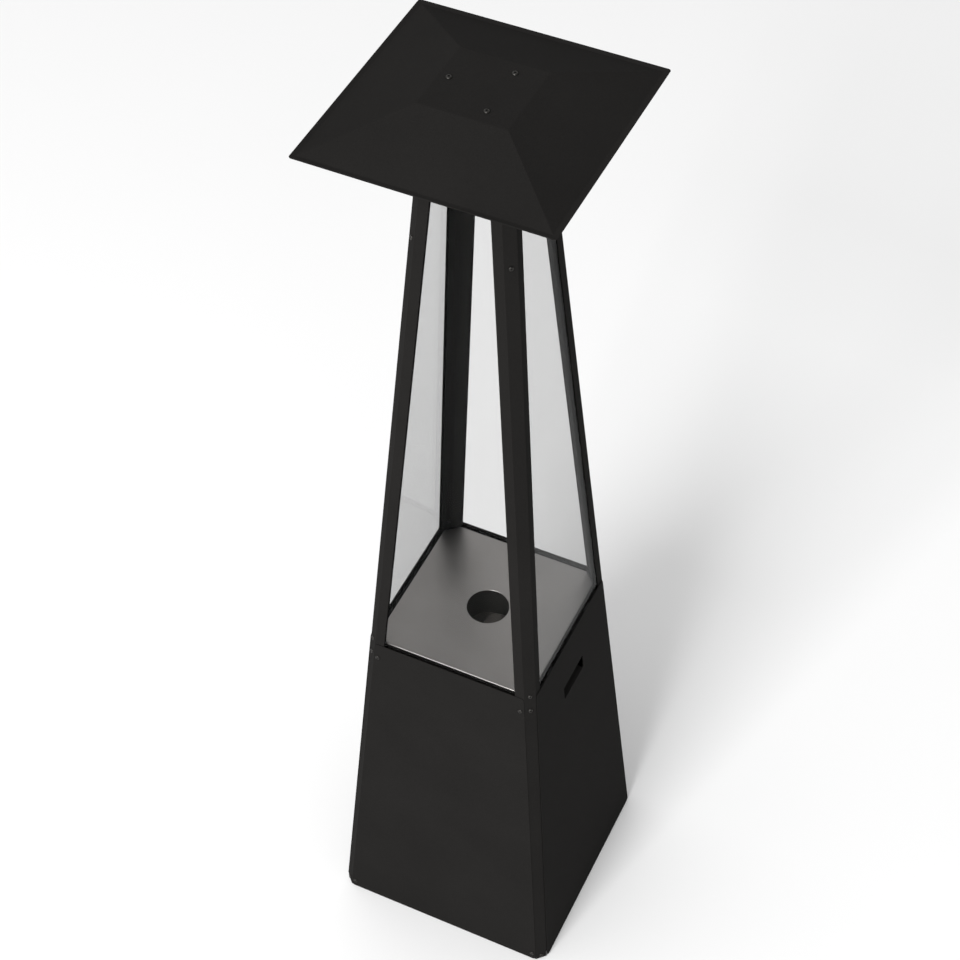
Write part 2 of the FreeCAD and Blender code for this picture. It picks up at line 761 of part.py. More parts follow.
# ---- hood ----
STUD_ANGLES = (180, 60, -60)
STUD_PLACES = [(f"stud_ring * cos({angle}deg)", f"stud_ring * sin({angle}deg)") for angle in STUD_ANGLES]


def square(half):
    return ((f"-({half})", f"-({half})"), (half, f"-({half})"), (half, half), (f"-({half})", half))


def make_hood():
    hood = new_body("hood")
    crease = "hood_top - hood_drop"
    rim = outline(hood, "XY_Plane", square("hood_half"), f"{crease} + hood_rim_lift - hood_sheet")
    pad(hood, rim, "hood_sheet")
    round_edges(hood, "hood_corner", upright)
    loft(hood, "AdditiveLoft", outline(hood, "XY_Plane", square("hood_crease_half"), crease),
         outline(hood, "XY_Plane", square("hood_crown_half"), "hood_top"))
    under = outline(hood, "XY_Plane", square("hood_crease_half"), f"{crease} - hood_sheet")
    loft(hood, "SubtractiveLoft", under,
         outline(hood, "XY_Plane", square("hood_crown_half"), "hood_top - hood_sheet"))
    holes = [(x, y, "stud_thread + fit") for x, y in STUD_PLACES]
    pocket(hood, circles(hood, "XY_Plane", holes, "hood_top + past"), "hood_sheet + 2 * past")
    finish(hood, "hood")


def stud_point(angle, height):
    around = math.radians(angle)
    return Vector(stud_ring * math.cos(around), stud_ring * math.sin(around), height)


def make_studs():
    """Threaded distance sleeves that carry the hood above the head frame."""
    bore = "stud_thread + fit / 2"
    rise = "hood_top - hood_sheet - frame_top"
    sleeve = revolve("StudPattern", ((bore, "0"), ("stud_radius", "0"), ("stud_radius", rise), (bore, rise)))
    up = Vector(0, 0, 1)
    copies(sleeve.Shape, "hood_studs", [aim(stud_point(angle, frame_top), up) for angle in STUD_ANGLES])


# ---- screws ----
def screw_pattern(label, head, rise, shank, reach):
    """Button-head screw: its head sits on z = 0 and its shank points down."""
    shoulder = f"{head} * head_shoulder"
    flat = f"{head} * head_flat"
    turned = revolve(label, (("0", f"-({reach})"), (shank, f"-({reach})"), (shank, "0"), (head, "0"),
                             (shoulder, f"{rise} / 2"), (flat, rise), ("0", rise)))
    return turned.Shape.copy()


def make_screws():
    small = screw_pattern("SmallScrew", "screw_head", "screw_head_rise", "screw_shank",
                          "screw_reach + panel_sheet")
    large = screw_pattern("LargeScrew", "screw_head * large_wide", "screw_head_rise * large_rise",
                          "stud_thread", "large_reach")
    skins = [aim(point + normal * panel_sheet, normal) for point, normal in WING_SPOTS]
    copies(small, "corner_screws", [aim(point, normal) for point, normal in CORNER_SPOTS])
    copies(small, "panel_screws", skins + [aim(point, normal) for point, normal in CONTROL_SPOTS])
    tops = [aim(stud_point(angle, hood_top), Vector(0, 0, 1)) for angle in STUD_ANGLES]
    lows = [aim(stud_point(angle, frame_top - frame_sheet), Vector(0, 0, -1)) for angle in STUD_ANGLES]
    copies(large, "hood_screws", tops + lows)


# ---- door hinge and catches ----
def make_hinge():
    face = "base_half - sill_set"
    for side, name in ((-1, "front"), (1, "rear")):
        lug = new_body("sill_lug_" + name)
        web = ((face, "pin_z - hinge_eye"), ("pin_x", "pin_z - hinge_eye"), ("pin_x", "pin_z + hinge_eye"),
               (face, "tray_rim"))
        pad(lug, outline(lug, "XZ_Plane", web), "hinge_plate", middle=True)
        pad(lug, circles(lug, "XZ_Plane", [("pin_x", "pin_z", "hinge_eye")]), "hinge_plate", middle=True)
        pocket(lug, circles(lug, "XZ_Plane", [("pin_x", "pin_z", "hinge_pin + hinge_fit")]),
               "hinge_plate + 2 * past", middle=True)
        lug.Placement = Placement(Vector(0, side * hinge_span, 0), Rotation())
        finish(lug, "sill_lug_" + name)

        ear = new_body("door_lug_" + name)
        cheek = (("hinge_up - hinge_eye", "-hinge_in"), ("hinge_up - hinge_eye", "door_gap"),
                 ("hinge_up + lug_rise", "door_gap"), ("hinge_up + lug_rise", "door_gap - lug_tip"),
                 ("hinge_up + hinge_eye", "-hinge_in"))
        pad(ear, outline(ear, "YZ_Plane", cheek), "hinge_plate", middle=True)
        eye = circles(ear, "YZ_Plane", [("hinge_up", "-hinge_in", "hinge_eye")])
        pad(ear, eye, "hinge_plate", middle=True)
        under = "door_gap - hinge_plate / 2"
        foot = (("hinge_up + hinge_eye", under), ("hinge_up + hinge_eye", "door_gap"),
                ("hinge_up + lug_rise", "door_gap"), ("hinge_up + lug_rise", under))
        pad(ear, outline(ear, "YZ_Plane", foot), "lug_width", middle=True)
        pocket(ear, circles(ear, "YZ_Plane", [("hinge_up", "-hinge_in", "hinge_pin + hinge_fit")]),
               "hinge_plate + 2 * past", middle=True)
        shift = Placement(Vector(side * (hinge_span + hinge_plate + hinge_side_gap), 0, 0), Rotation())
        ear.Placement = face_frame(90).multiply(shift)
        finish(ear, "door_lug_" + name)

    pins = []
    start = hinge_span - 1.5 * hinge_plate
    for side in (-1, 1):
        way = Vector(0, side, 0)
        shank = Part.makeCylinder(hinge_pin, 3 * hinge_plate + hinge_side_gap, Vector(), way)
        head = Part.makeCylinder(pin_head, pin_head_depth, way * (hinge_plate - pin_head_depth), way)
        pin = shank.fuse(head)
        pin.translate(Vector(pin_x, side * start, pin_z))
        pins.append(pin)
    finish(from_shape("hinge_pins", Part.makeCompound(pins)), "hinge_pins")


def make_magnets():
    """Two flat catch magnets on the web of the rail behind the door."""
    back = post_sheet * lean_cos
    plate_shape = Part.makeBox(magnet_long, magnet_high, back - magnet_gap)
    low = up_slope(joint_low) - magnet_high / 2
    spots = [Vector(side * magnet_reach - magnet_long / 2, low, -back) for side in (-1, 1)]
    copies(plate_shape, "door_magnets",
           [face_frame(90).multiply(Placement(spot, Rotation())) for spot in spots])


# ---- burner ----
def make_burner():
    top = "deck_top - deck_sheet"
    base = f"{top} - cup_depth"
    cup = revolve("burner_cup", (("cup_radius - cup_sheet", top), ("cup_flange", top),
                                 ("cup_flange", f"{top} - cup_sheet"), ("cup_radius", f"{top} - cup_sheet"),
                                 ("cup_radius", base), ("0", base), ("0", f"{base} + cup_sheet"),
                                 ("cup_radius - cup_sheet", f"{base} + cup_sheet")))
    holes = [("burner_x", "burner_y", "mixer_radius + fit")]
    holes += [(f"probe_ring * cos({angle}deg)", f"probe_ring * sin({angle}deg)", "probe_radius + fit")
              for _, angle in PROBES]
    pocket(cup, circles(cup, "XY_Plane", holes, f"{base} - past"), "cup_sheet + 2 * past", reverse=True)
    finish(cup, "burner_cup")

    roof = "head_rise - head_wall"
    side = "head_radius - head_wall"
    head = revolve("burner_head", (("mixer_radius + fit", "0"), ("head_radius", "0"),
                                   ("head_radius", "head_rise - head_bevel"),
                                   ("head_radius - head_bevel", "head_rise"), ("0", "head_rise"),
                                   ("0", roof), ("head_radius - head_bevel - past", roof),
                                   (side, "head_rise - head_bevel - past"), (side, "head_wall"),
                                   ("mixer_radius + fit", "head_wall")))
    ring_of_holes(head, "port_radius", "head_rise / 2", "head_radius + past", port_count)
    head.Placement = Placement(Vector(burner_x, burner_y, cup_floor), Rotation())
    finish(head, "burner_head")

    inner = "mixer_radius - mixer_wall"
    mixer = revolve("mixer_tube", ((inner, "0"), ("mixer_radius", "0"), ("mixer_radius", "mixer_length"),
                                   (inner, "mixer_length")))
    ring_of_holes(mixer, "air_radius", "air_rise", "mixer_radius + past", air_count)
    mixer.Placement = Placement(Vector(burner_x, burner_y, mixer_foot), Rotation())
    finish(mixer, "mixer_tube")

    plug = f"{inner} - fit"
    nose = "jet_plug + jet_nose_length"
    jet = revolve("gas_jet", (("0", "-jet_stem"), ("jet_radius", "-jet_stem"), ("jet_radius", "0"),
                              (plug, "0"), (plug, "jet_plug"), ("jet_nose", "jet_plug"),
                              ("jet_nose / 2", nose), ("0", nose)))
    jet.Placement = Placement(Vector(burner_x, burner_y, mixer_foot), Rotation())
    finish(jet, "gas_jet")


def ring_of_holes(body, radius, height, reach, count):
    """Round holes through the wall of a turned piece, evenly spaced around its axis."""
    hole = pocket(body, circles(body, "XZ_Plane", [("0", height, radius)]), reach)
    pattern = body.newObject("PartDesign::PolarPattern", body.Name + "Ring")
    pattern.Originals = [hole]
    pattern.Axis = (plane_of(body, "Z_Axis"), [""])
    pattern.Angle = 360
    pattern.Occurrences = int(count)
    body.Tip = pattern
    doc.recompute()


PROBES = (("pilot_burner", 205), ("thermocouple", 230), ("spark_electrode", 252))
PROBE_TIPS = {"pilot_burner": 3.0, "thermocouple": 2.0, "spark_electrode": 1.0}


def probe_point(angle, height):
    around = math.radians(angle)
    return Vector(probe_ring * math.cos(around), probe_ring * math.sin(around), height)


def make_probes():
    for name, angle in PROBES:
        tip = PROBE_TIPS[name]
        probe = revolve(name, (("0", "0"), ("probe_radius", "0"), ("probe_radius", "probe_body"),
                               (f"{tip}", "probe_body + probe_cone"), (f"{tip}", "probe_length"),
                               ("0", "probe_length")))
        probe.Placement = Placement(probe_point(angle, probe_foot), Rotation())
        finish(probe, name)


# ---- rigid pipes and leads ----
def bent_path(points, bend):
    """Straight runs joined by tangent arcs of one bend radius."""
    edges = []
    start = points[0]
    for before, corner, after in zip(points, points[1:], points[2:]):
        come = (corner - before).normalize()
        leave = (after - corner).normalize()
        turn_angle = come.getAngle(leave)
        back = bend * math.tan(turn_angle / 2)
        first = corner - come * back
        last = corner + leave * back
        middle_way = (leave - come).normalize()
        centre = corner + middle_way * (bend / math.cos(turn_angle / 2))
        edges.append(Part.LineSegment(start, first).toShape())
        edges.append(Part.Arc(first, centre - middle_way * bend, last).toShape())
        start = last
    edges.append(Part.LineSegment(start, points[-1]).toShape())
    return Part.Wire(edges)


def pipe(node, points, bend, radius):
    path = bent_path(points, bend)
    ring = Part.Wire([Part.makeCircle(radius, points[0], points[1] - points[0])])
    solid = path.makePipeShell([ring], True, True)
    expected = math.pi * radius ** 2 * path.Length
    if abs(solid.Volume / expected - 1) > 0.01:
        raise RuntimeError(f"{node}: swept volume is off")
    print(node, "length", round(path.Length, 1), "bend", bend)
    finish(from_shape(node, solid), node)


def make_pipes():
    rear = panel_x - valve_depth
    outlet = control_z - valve_rise + gas_outlet
    jet_under = mixer_foot - jet_stem
    dip = jet_under - gas_dip
    pipe("gas_pipe", [Vector(rear, burner_y, outlet), Vector(rear - gas_run, burner_y, outlet),
                      Vector(rear - gas_run, burner_y, dip), Vector(burner_x, burner_y, dip),
                      Vector(burner_x, burner_y, jet_under)], gas_bend, pipe_radius)
    pilot = probe_point(PROBES[0][1], probe_foot)
    low = probe_foot - pilot_dip
    pipe("pilot_tube", [pilot, Vector(pilot.x, pilot.y, low), Vector(rear - pilot_run, pilot.y, low),
                        Vector(rear - pilot_run, pilot.y, control_z), Vector(rear, pilot.y, control_z)],
         lead_bend, pilot_radius)
    couple = probe_point(PROBES[1][1], probe_foot)
    low = probe_foot - couple_dip
    side = Vector(panel_x - couple_in, -valve_half - couple_out, control_z - couple_drop)
    pipe("thermocouple_lead", [couple, Vector(couple.x, couple.y, low), Vector(side.x, side.y, low), side,
                               Vector(side.x, -valve_half, side.z)], lead_bend, lead_radius)
    spark = probe_point(PROBES[2][1], probe_foot)
    low = probe_foot - spark_dip
    igniter_back = panel_x - igniter_length
    back = igniter_back - spark_run
    pipe("ignition_lead", [spark, Vector(spark.x, spark.y, low), Vector(back, igniter_y, low),
                           Vector(back, igniter_y, control_z), Vector(igniter_back, igniter_y, control_z)],
         lead_bend, lead_radius)


# ---- controls ----
def along_x(x, y, z):
    """Placement that turns a piece's own axis to point at the door."""
    return Placement(Vector(x, y, z), Rotation(Vector(0, 1, 0), 90))


def make_controls():
    plate_body = new_body("ControlSheet")
    roof = "rail_top - rail_sheet"
    front = "panel_x + control_sheet"
    under = f"{roof} - control_sheet"
    section = (("panel_x", "control_foot"), (front, "control_foot"), (front, under), ("control_reach", under),
               ("control_reach", roof), ("panel_x", roof))
    pad(plate_body, outline(plate_body, "XZ_Plane", section), "2 * control_half", middle=True)
    holes = [("0", "control_z", "boss_radius + fit"), ("igniter_y", "control_z", "igniter_radius + fit")]
    pocket(plate_body, circles(plate_body, "YZ_Plane", holes, "panel_x - past"), "control_sheet + 2 * past",
           reverse=True)
    tools = drills("Control", CONTROL_SPOTS, plate_body.Shape, short_drill)
    finish(cut("control_plate", plate_body, tools), "control_plate")

    block = box("ValveBlock", ("panel_x - valve_depth", "-valve_half", "control_z - valve_rise"),
                ("panel_x", "valve_half", "control_z + valve_rise"))
    boss = rod("ValveBoss", "boss_radius", "control_sheet + boss_proud + past",
               along_x(panel_x - past, 0, control_z))
    bore = rod("ValveBore", "spindle_radius + hinge_fit", "spindle_deep + control_sheet + boss_proud + past",
               along_x(panel_x - spindle_deep, 0, control_z))
    finish(cut("gas_valve", joined("ValveWhole", [block, boss]), [bore]), "gas_valve")

    spindle_back = spindle_deep - press_travel - spindle_spare
    spindle = rod("valve_spindle", "spindle_radius",
                  "spindle_deep - press_travel - spindle_spare + spindle_proud",
                  along_x(panel_x - spindle_back, 0, control_z))
    finish(spindle, "valve_spindle")
    socket = "spindle_radius + hinge_fit"
    crown = "knob_depth - knob_crown"
    grip = revolve("KnobTurned", ((socket, "0"), ("knob_radius", "0"), ("knob_radius", "knob_skirt"),
                                  ("knob_waist", "knob_skirt + 2"), ("knob_neck", "knob_depth - 2"),
                                  ("knob_face", "knob_depth"), ("0", "knob_depth"), ("0", crown),
                                  (socket, crown)))
    pointer = new_body("KnobPointer")
    bar = (("-pointer_half", "-pointer_wide / 2"), ("pointer_half", "-pointer_wide / 2"),
           ("pointer_half", "pointer_wide / 2"), ("-pointer_half", "pointer_wide / 2"))
    pad(pointer, outline(pointer, "XY_Plane", bar, "knob_depth - past"), "pointer_rise + past")
    knob = joined("control_knob", [grip, pointer])
    knob.Placement = along_x(panel_x + control_sheet + boss_proud + knob_gap, 0, control_z)
    finish(knob, "control_knob")

    well = "button_radius + slide_fit"
    skin = "igniter_length + control_sheet"
    front = f"{skin} + bezel"
    igniter = revolve("igniter_body", (("0", "0"), ("igniter_radius", "0"), ("igniter_radius", skin),
                                       ("igniter_radius + bezel_lap", skin),
                                       ("igniter_radius + bezel_lap", front), (well, front),
                                       (well, "igniter_seat"), ("0", "igniter_seat")))
    igniter.Placement = along_x(panel_x - igniter_length, igniter_y, control_z)
    finish(igniter, "igniter_body")
    back = "igniter_seat + spring_length + spring_wire + button_travel"
    tip = f"{front} + button_proud"
    button = revolve("igniter_button", (("0", back), ("button_radius", back),
                                        ("button_radius", f"{tip} - button_bevel"),
                                        ("button_radius - button_bevel", tip), ("0", tip)))
    button.Placement = along_x(panel_x - igniter_length, igniter_y, control_z)
    finish(button, "igniter_button")

    coil = Part.makeLongHelix(spring_length / spring_turns, spring_length - 2 * spring_wire, spring_radius)
    start = Part.Wire([Part.makeCircle(spring_wire / 2, Vector(spring_radius, 0, 0), Vector(0, 1, 0))])
    spring = Part.Wire(coil.Edges).makePipeShell([start], True, True)
    spring_x = panel_x - igniter_length + igniter_seat + spring_wire / 2
    finish(from_shape("igniter_spring", spring, along_x(spring_x, igniter_y, control_z)), "igniter_spring")

    switch = box("tilt_switch",
                 ("panel_x - switch_deep", "switch_y - switch_half", "control_z - switch_rise"),
                 ("panel_x", "switch_y + switch_half", "control_z + switch_rise"))
    finish(switch, "tilt_switch")
    tail = "-inlet_collar - inlet_length"
    inlet = revolve("gas_inlet", (("0", tail), ("inlet_radius - inlet_bevel / 2", tail),
                                  ("inlet_radius", f"{tail} + inlet_bevel"),
                                  ("inlet_radius", "-inlet_collar"), ("inlet_nut", "-inlet_collar"),
                                  ("inlet_nut", "0"), ("0", "0")))
    inlet.Placement = Placement(Vector(panel_x - valve_depth / 2, 0, control_z - valve_rise), Rotation())
    finish(inlet, "gas_inlet")


# ---- build, check and write ----
def check_document():
    doc.recompute()
    for item in doc.Objects:
        if "Invalid" in item.State or "Error" in item.State:
            raise RuntimeError(f"{item.Label}: {item.State}")
    for item in finished:
        if item.Shape.isNull() or not item.Shape.isValid() or not item.Shape.Solids:
            raise RuntimeError(f"{item.Label}: its shape is not sound")


def write_steps():
    os.makedirs("parts", exist_ok=True)
    for item in finished:
        item.Shape.exportStep(f"parts/{item.Label}.step")
    print(len(finished), "parts written")


for make in (make_posts, make_clamps, make_panels, make_panes, make_door, make_hinge, make_magnets,
             make_rails, make_pane_blocks, make_deck, make_tray, make_feet, make_head_frame, make_hood,
             make_studs, make_screws, make_burner, make_probes, make_pipes, make_controls):
    make()
check_document()
write_steps()
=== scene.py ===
"""Looks of a slim pyramid-shaped outdoor gas heater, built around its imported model."""

import json
import logging
import math
from dataclasses import dataclass, field
from enum import Enum
from typing import Callable, Iterable, Sequence

import bmesh
import bpy
from mathutils import Matrix, Vector

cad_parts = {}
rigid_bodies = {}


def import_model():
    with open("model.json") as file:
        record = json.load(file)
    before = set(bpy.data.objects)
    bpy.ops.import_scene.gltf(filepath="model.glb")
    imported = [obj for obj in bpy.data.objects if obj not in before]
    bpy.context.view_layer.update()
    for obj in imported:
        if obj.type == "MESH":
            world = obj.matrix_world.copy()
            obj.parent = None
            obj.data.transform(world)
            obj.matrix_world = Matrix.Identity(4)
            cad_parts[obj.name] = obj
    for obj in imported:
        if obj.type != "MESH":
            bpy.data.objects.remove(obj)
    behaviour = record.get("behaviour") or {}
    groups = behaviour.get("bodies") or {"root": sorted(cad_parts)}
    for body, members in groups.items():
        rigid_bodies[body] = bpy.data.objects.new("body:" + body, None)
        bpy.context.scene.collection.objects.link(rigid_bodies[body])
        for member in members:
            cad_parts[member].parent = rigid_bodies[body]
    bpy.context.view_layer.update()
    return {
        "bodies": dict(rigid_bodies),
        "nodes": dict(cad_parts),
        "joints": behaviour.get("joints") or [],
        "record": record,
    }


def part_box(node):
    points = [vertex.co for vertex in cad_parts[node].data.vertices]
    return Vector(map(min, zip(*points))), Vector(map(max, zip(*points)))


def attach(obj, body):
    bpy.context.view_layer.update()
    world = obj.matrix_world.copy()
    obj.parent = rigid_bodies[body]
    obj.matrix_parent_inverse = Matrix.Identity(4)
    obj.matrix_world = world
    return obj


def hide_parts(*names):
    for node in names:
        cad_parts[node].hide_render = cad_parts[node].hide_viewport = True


log = logging.getLogger("heater")
MM = 0.001
Point = tuple[float, float]
Colour = tuple[float, float, float]
WELD = 2e-6
FLAT_ANGLE = 0.6
SMOOTH_ANGLE = 34.0


# ---------------------------------------------------------------- shader maths
class Value:
    """A shader socket that can be used in a Python expression."""

    def __init__(self, shade: "Shade", socket: bpy.types.NodeSocket) -> None:
        """Keep the socket and the tree that it belongs to.

        Args:
            shade: builder of the tree.
            socket: output socket that carries the number.
        """
        self.shade = shade
        self.socket = socket

    def _math(self, operation: str, first: object, second: object) -> "Value":
        """Add one Math node for an operation on two numbers or sockets."""
        return self.shade.node("ShaderNodeMath", {"operation": operation}, {0: first, 1: second})

    def __add__(self, other: object) -> "Value":
        """Sum."""
        return self._math("ADD", self, other)

    def __radd__(self, other: object) -> "Value":
        """Sum with a number on the left."""
        return self._math("ADD", other, self)

    def __sub__(self, other: object) -> "Value":
        """Difference."""
        return self._math("SUBTRACT", self, other)

    def __rsub__(self, other: object) -> "Value":
        """Difference with a number on the left."""
        return self._math("SUBTRACT", other, self)

    def __mul__(self, other: object) -> "Value":
        """Product."""
        return self._math("MULTIPLY", self, other)

    def __rmul__(self, other: object) -> "Value":
        """Product with a number on the left."""
        return self._math("MULTIPLY", other, self)

    def __pow__(self, other: object) -> "Value":
        """Power."""
        return self._math("POWER", self, other)

    def __rpow__(self, other: object) -> "Value":
        """Power with a number on the left."""
        return self._math("POWER", other, self)


class Shade:
    """Builds one material's node tree."""

    # Colour sockets of the Mix node, which stand after its float and vector ones.
    MIX_LOW, MIX_HIGH, MIX_RESULT = 6, 7, 2

    def __init__(self, name: str) -> None:
        """Start a material with an empty tree.

        Args:
            name: the material's name.
        """
        self.material = bpy.data.materials.new(name)
        self.material.use_nodes = True
        self.tree = self.material.node_tree
        self.tree.nodes.clear()

    @classmethod
    def for_tree(cls, tree: bpy.types.NodeTree) -> "Shade":
        """A builder for a tree that belongs to something other than a material.

        Args:
            tree: the tree, which is emptied.

        Returns:
            The builder.
        """
        made = cls.__new__(cls)
        made.material = None
        made.tree = tree
        tree.nodes.clear()
        return made

    def node(self, kind: str, settings: dict[str, object] | None = None,
             inputs: dict[object, object] | None = None, output: object = 0) -> Value:
        """Add any node.

        Args:
            kind: node type.
            settings: properties that are set before the sockets.
            inputs: values or Value links by socket name or index.
            output: which output the result wraps.

        Returns:
            The chosen output, wrapped.
        """
        made = self.tree.nodes.new(kind)
        for name, value in (settings or {}).items():
            setattr(made, name, value)
        for key, value in (inputs or {}).items():
            if isinstance(value, Value):
                self.tree.links.new(value.socket, made.inputs[key])
            else:
                made.inputs[key].default_value = value
        return Value(self, made.outputs[output]) if len(made.outputs) else Value(self, None)

    def ramp(self, factor: Value, stops: Sequence[tuple[float, float]]) -> Value:
        """A grey ramp with two stops.

        Args:
            factor: what is looked up.
            stops: position and grey level of the low stop and of the high one.

        Returns:
            The ramp's grey level.
        """
        made = self.tree.nodes.new("ShaderNodeValToRGB")
        for element, (position, level) in zip(made.color_ramp.elements, stops):
            element.position = position
            element.color = (level, level, level, 1.0)
        self.tree.links.new(factor.socket, made.inputs[0])
        return Value(self, made.outputs[0])

    def mix(self, factor: object, low: object, high: object) -> Value:
        """Mix two colours.

        Args:
            factor: number or Value from 0 to 1.
            low: colour at 0.
            high: colour at 1.

        Returns:
            The mixed colour.
        """
        return self.node("ShaderNodeMix", {"data_type": "RGBA"},
                         {0: factor, self.MIX_LOW: low, self.MIX_HIGH: high}, self.MIX_RESULT)

    def place(self, scale: Sequence[float] = (1.0, 1.0, 1.0)) -> Value:
        """Object coordinates, stretched by a Mapping node."""
        where = self.node("ShaderNodeTexCoord", output="Object")
        return self.node("ShaderNodeMapping", None, {"Vector": where, "Scale": tuple(scale)})

    def noise(self, vector: Value, scale: float, detail: float = 2.0, rough: float = 0.5) -> Value:
        """Smooth noise on a vector, as a number from 0 to 1."""
        return self.node("ShaderNodeTexNoise", None,
                         {"Vector": vector, "Scale": scale, "Detail": detail, "Roughness": rough})

    def bump(self, height: Value, distance: float, strength: float = 1.0) -> Value:
        """A Bump node for a height field; distance is in metres."""
        return self.node("ShaderNodeBump", None,
                         {"Height": height, "Distance": distance, "Strength": strength})

    def finish(self, inputs: dict[object, object]) -> bpy.types.Material:
        """Close the tree with one Principled shader.

        Args:
            inputs: its sockets' values or links.

        Returns:
            The finished material.
        """
        surface = self.node("ShaderNodeBsdfPrincipled", None, inputs)
        self.node("ShaderNodeOutputMaterial", None, {"Surface": surface})
        return self.material


# ---------------------------------------------------------------- finishes
def tinted(shade: Colour, factor: float = 1.0, lift: float = 0.0) -> tuple[float, ...]:
    """A shade as an opaque colour, made lighter or darker.

    Args:
        shade: the shade.
        factor: what each channel is multiplied by.
        lift: what is added to each channel afterwards.

    Returns:
        Red, green, blue and alpha.
    """
    return tuple(min(1.0, channel * factor + lift) for channel in shade) + (1.0,)


class Grain(Enum):
    """Noise scales along X, Y and Z for each way that a brushed finish runs."""

    ALONG_X = (60.0, 2600.0, 2600.0)
    ALONG_Z = (2600.0, 2600.0, 60.0)


@dataclass(frozen=True)
class PowderCoat:
    """Baked powder coat: dark, satin, with a fine pebbled skin and a little dust."""

    name: str = "black_powder_coat"
    shade: Colour = (0.0158, 0.0151, 0.0145)
    speckle: float = 0.22
    roughness: float = 0.56
    gloss: float = 0.004
    pebble_scale: float = 950.0
    ripple_scale: float = 342.0
    dust_scale: float = 5.0
    depth: float = 0.00022

    def material(self) -> bpy.types.Material:
        """Build the powder coat.

        Returns:
            The material.
        """
        s = Shade(self.name)
        where = s.place()
        pebbles = s.noise(where, self.pebble_scale, 3.0, 0.55)
        ripples = s.noise(where, self.ripple_scale, 1.0)
        dust = s.noise(where, self.dust_scale, 4.0, 0.6)
        dark = tinted(self.shade, 1 - self.speckle)
        pale = tinted(self.shade, 1 + self.speckle)
        tone = s.ramp(pebbles * 0.75 + dust * 0.25, ((0.36, 0.0), (0.66, 1.0)))
        return s.finish({
            "Base Color": s.mix(tone, dark, pale),
            "Roughness": self.roughness - 0.07 + dust * 0.10 + pebbles * 0.05,
            "Specular IOR Level": self.gloss,
            "Normal": s.bump(pebbles * 0.6 + ripples * 0.4, self.depth, 0.5),
        })


@dataclass(frozen=True)
class BrushedSteel:
    """Stainless sheet with fine straight brushing and soft smudges."""

    name: str
    shade: Colour = (0.335, 0.322, 0.312)
    roughness: float = 0.36
    grain: Grain = Grain.ALONG_X
    smudge_scale: float = 9.0
    depth: float = 0.00004

    def material(self) -> bpy.types.Material:
        """Build the brushed steel.

        Returns:
            The material.
        """
        s = Shade(self.name)
        hairs = s.noise(s.place(self.grain.value), 1.0, 3.0, 0.65)
        smudges = s.noise(s.place(), self.smudge_scale, 5.0, 0.62)
        tone = s.ramp(hairs * 0.6 + smudges * 0.4, ((0.34, 0.0), (0.66, 1.0)))
        return s.finish({
            "Base Color": s.mix(tone, tinted(self.shade, 0.86), tinted(self.shade, 1.10)),
            "Metallic": 1.0,
            "Roughness": self.roughness - 0.08 + smudges * 0.16 + hairs * 0.06,
            "Normal": s.bump(hairs, self.depth, 0.35),
        })


@dataclass(frozen=True)
class TurnedMetal:
    """Plain machined or drawn metal with faint tool marks and a little tarnish."""

    name: str
    shade: Colour
    roughness: float = 0.28
    mark_scale: tuple[float, float, float] = (90.0, 90.0, 2400.0)
    tarnish_scale: float = 42.0
    depth: float = 0.00003

    def material(self) -> bpy.types.Material:
        """Build the turned metal.

        Returns:
            The material.
        """
        s = Shade(self.name)
        marks = s.noise(s.place(self.mark_scale), 1.0, 2.0)
        tarnish = s.noise(s.place(), self.tarnish_scale, 4.0, 0.6)
        tone = s.ramp(tarnish, ((0.40, 0.0), (0.72, 1.0)))
        return s.finish({
            "Base Color": s.mix(tone, tinted(self.shade), tinted(self.shade, 0.62)),
            "Metallic": 1.0,
            "Roughness": self.roughness + tarnish * 0.18,
            "Normal": s.bump(marks, self.depth, 0.3),
        })


@dataclass(frozen=True)
class Moulded:
    """Moulded plastic, rubber or glazed ceramic with a fine texture."""

    name: str
    shade: Colour
    roughness: float = 0.5
    grain_scale: float = 1400.0
    depth: float = 0.00006
    cloud_scale: float = 24.0

    def material(self) -> bpy.types.Material:
        """Build the moulded finish.

        Returns:
            The material.
        """
        s = Shade(self.name)
        grain = s.noise(s.place(), self.grain_scale, 2.0)
        clouds = s.noise(s.place(), self.cloud_scale, 3.0)
        pale = tinted(self.shade, 1.25, 0.004)
        return s.finish({
            "Base Color": s.mix(grain * 0.4 + clouds * 0.4, tinted(self.shade), pale),
            "Roughness": self.roughness - 0.05 + clouds * 0.12,
            "Normal": s.bump(grain, self.depth, 0.4),
        })


@dataclass(frozen=True)
class ClearGlass:
    """Tempered pane: clear head on and more of a mirror at a slant, with a few faint wipe marks."""

    name: str = "clear_glass"
    tint: Colour = (0.050, 0.053, 0.052)
    head_on: float = 0.045
    slant_power: float = 5.0
    haze: float = 0.012
    wipe_scale: tuple[float, float, float] = (6.0, 6.0, 2.2)

    def material(self) -> bpy.types.Material:
        """Build the glass.

        Returns:
            The material.
        """
        s = Shade(self.name)
        slant = s.node("ShaderNodeLayerWeight", None, {"Blend": 0.5}, "Facing")
        wipes = s.noise(s.place(self.wipe_scale), 1.0, 4.0, 0.6)
        clear = (1 - self.head_on) * (1 - slant ** self.slant_power)
        made = s.finish({
            "Base Color": tinted(self.tint),
            "Metallic": 1.0,
            "Roughness": 0.01 + wipes * 0.03,
            "Alpha": 1 - clear + wipes * self.haze,
        })
        made.surface_render_method = "BLENDED"
        return made


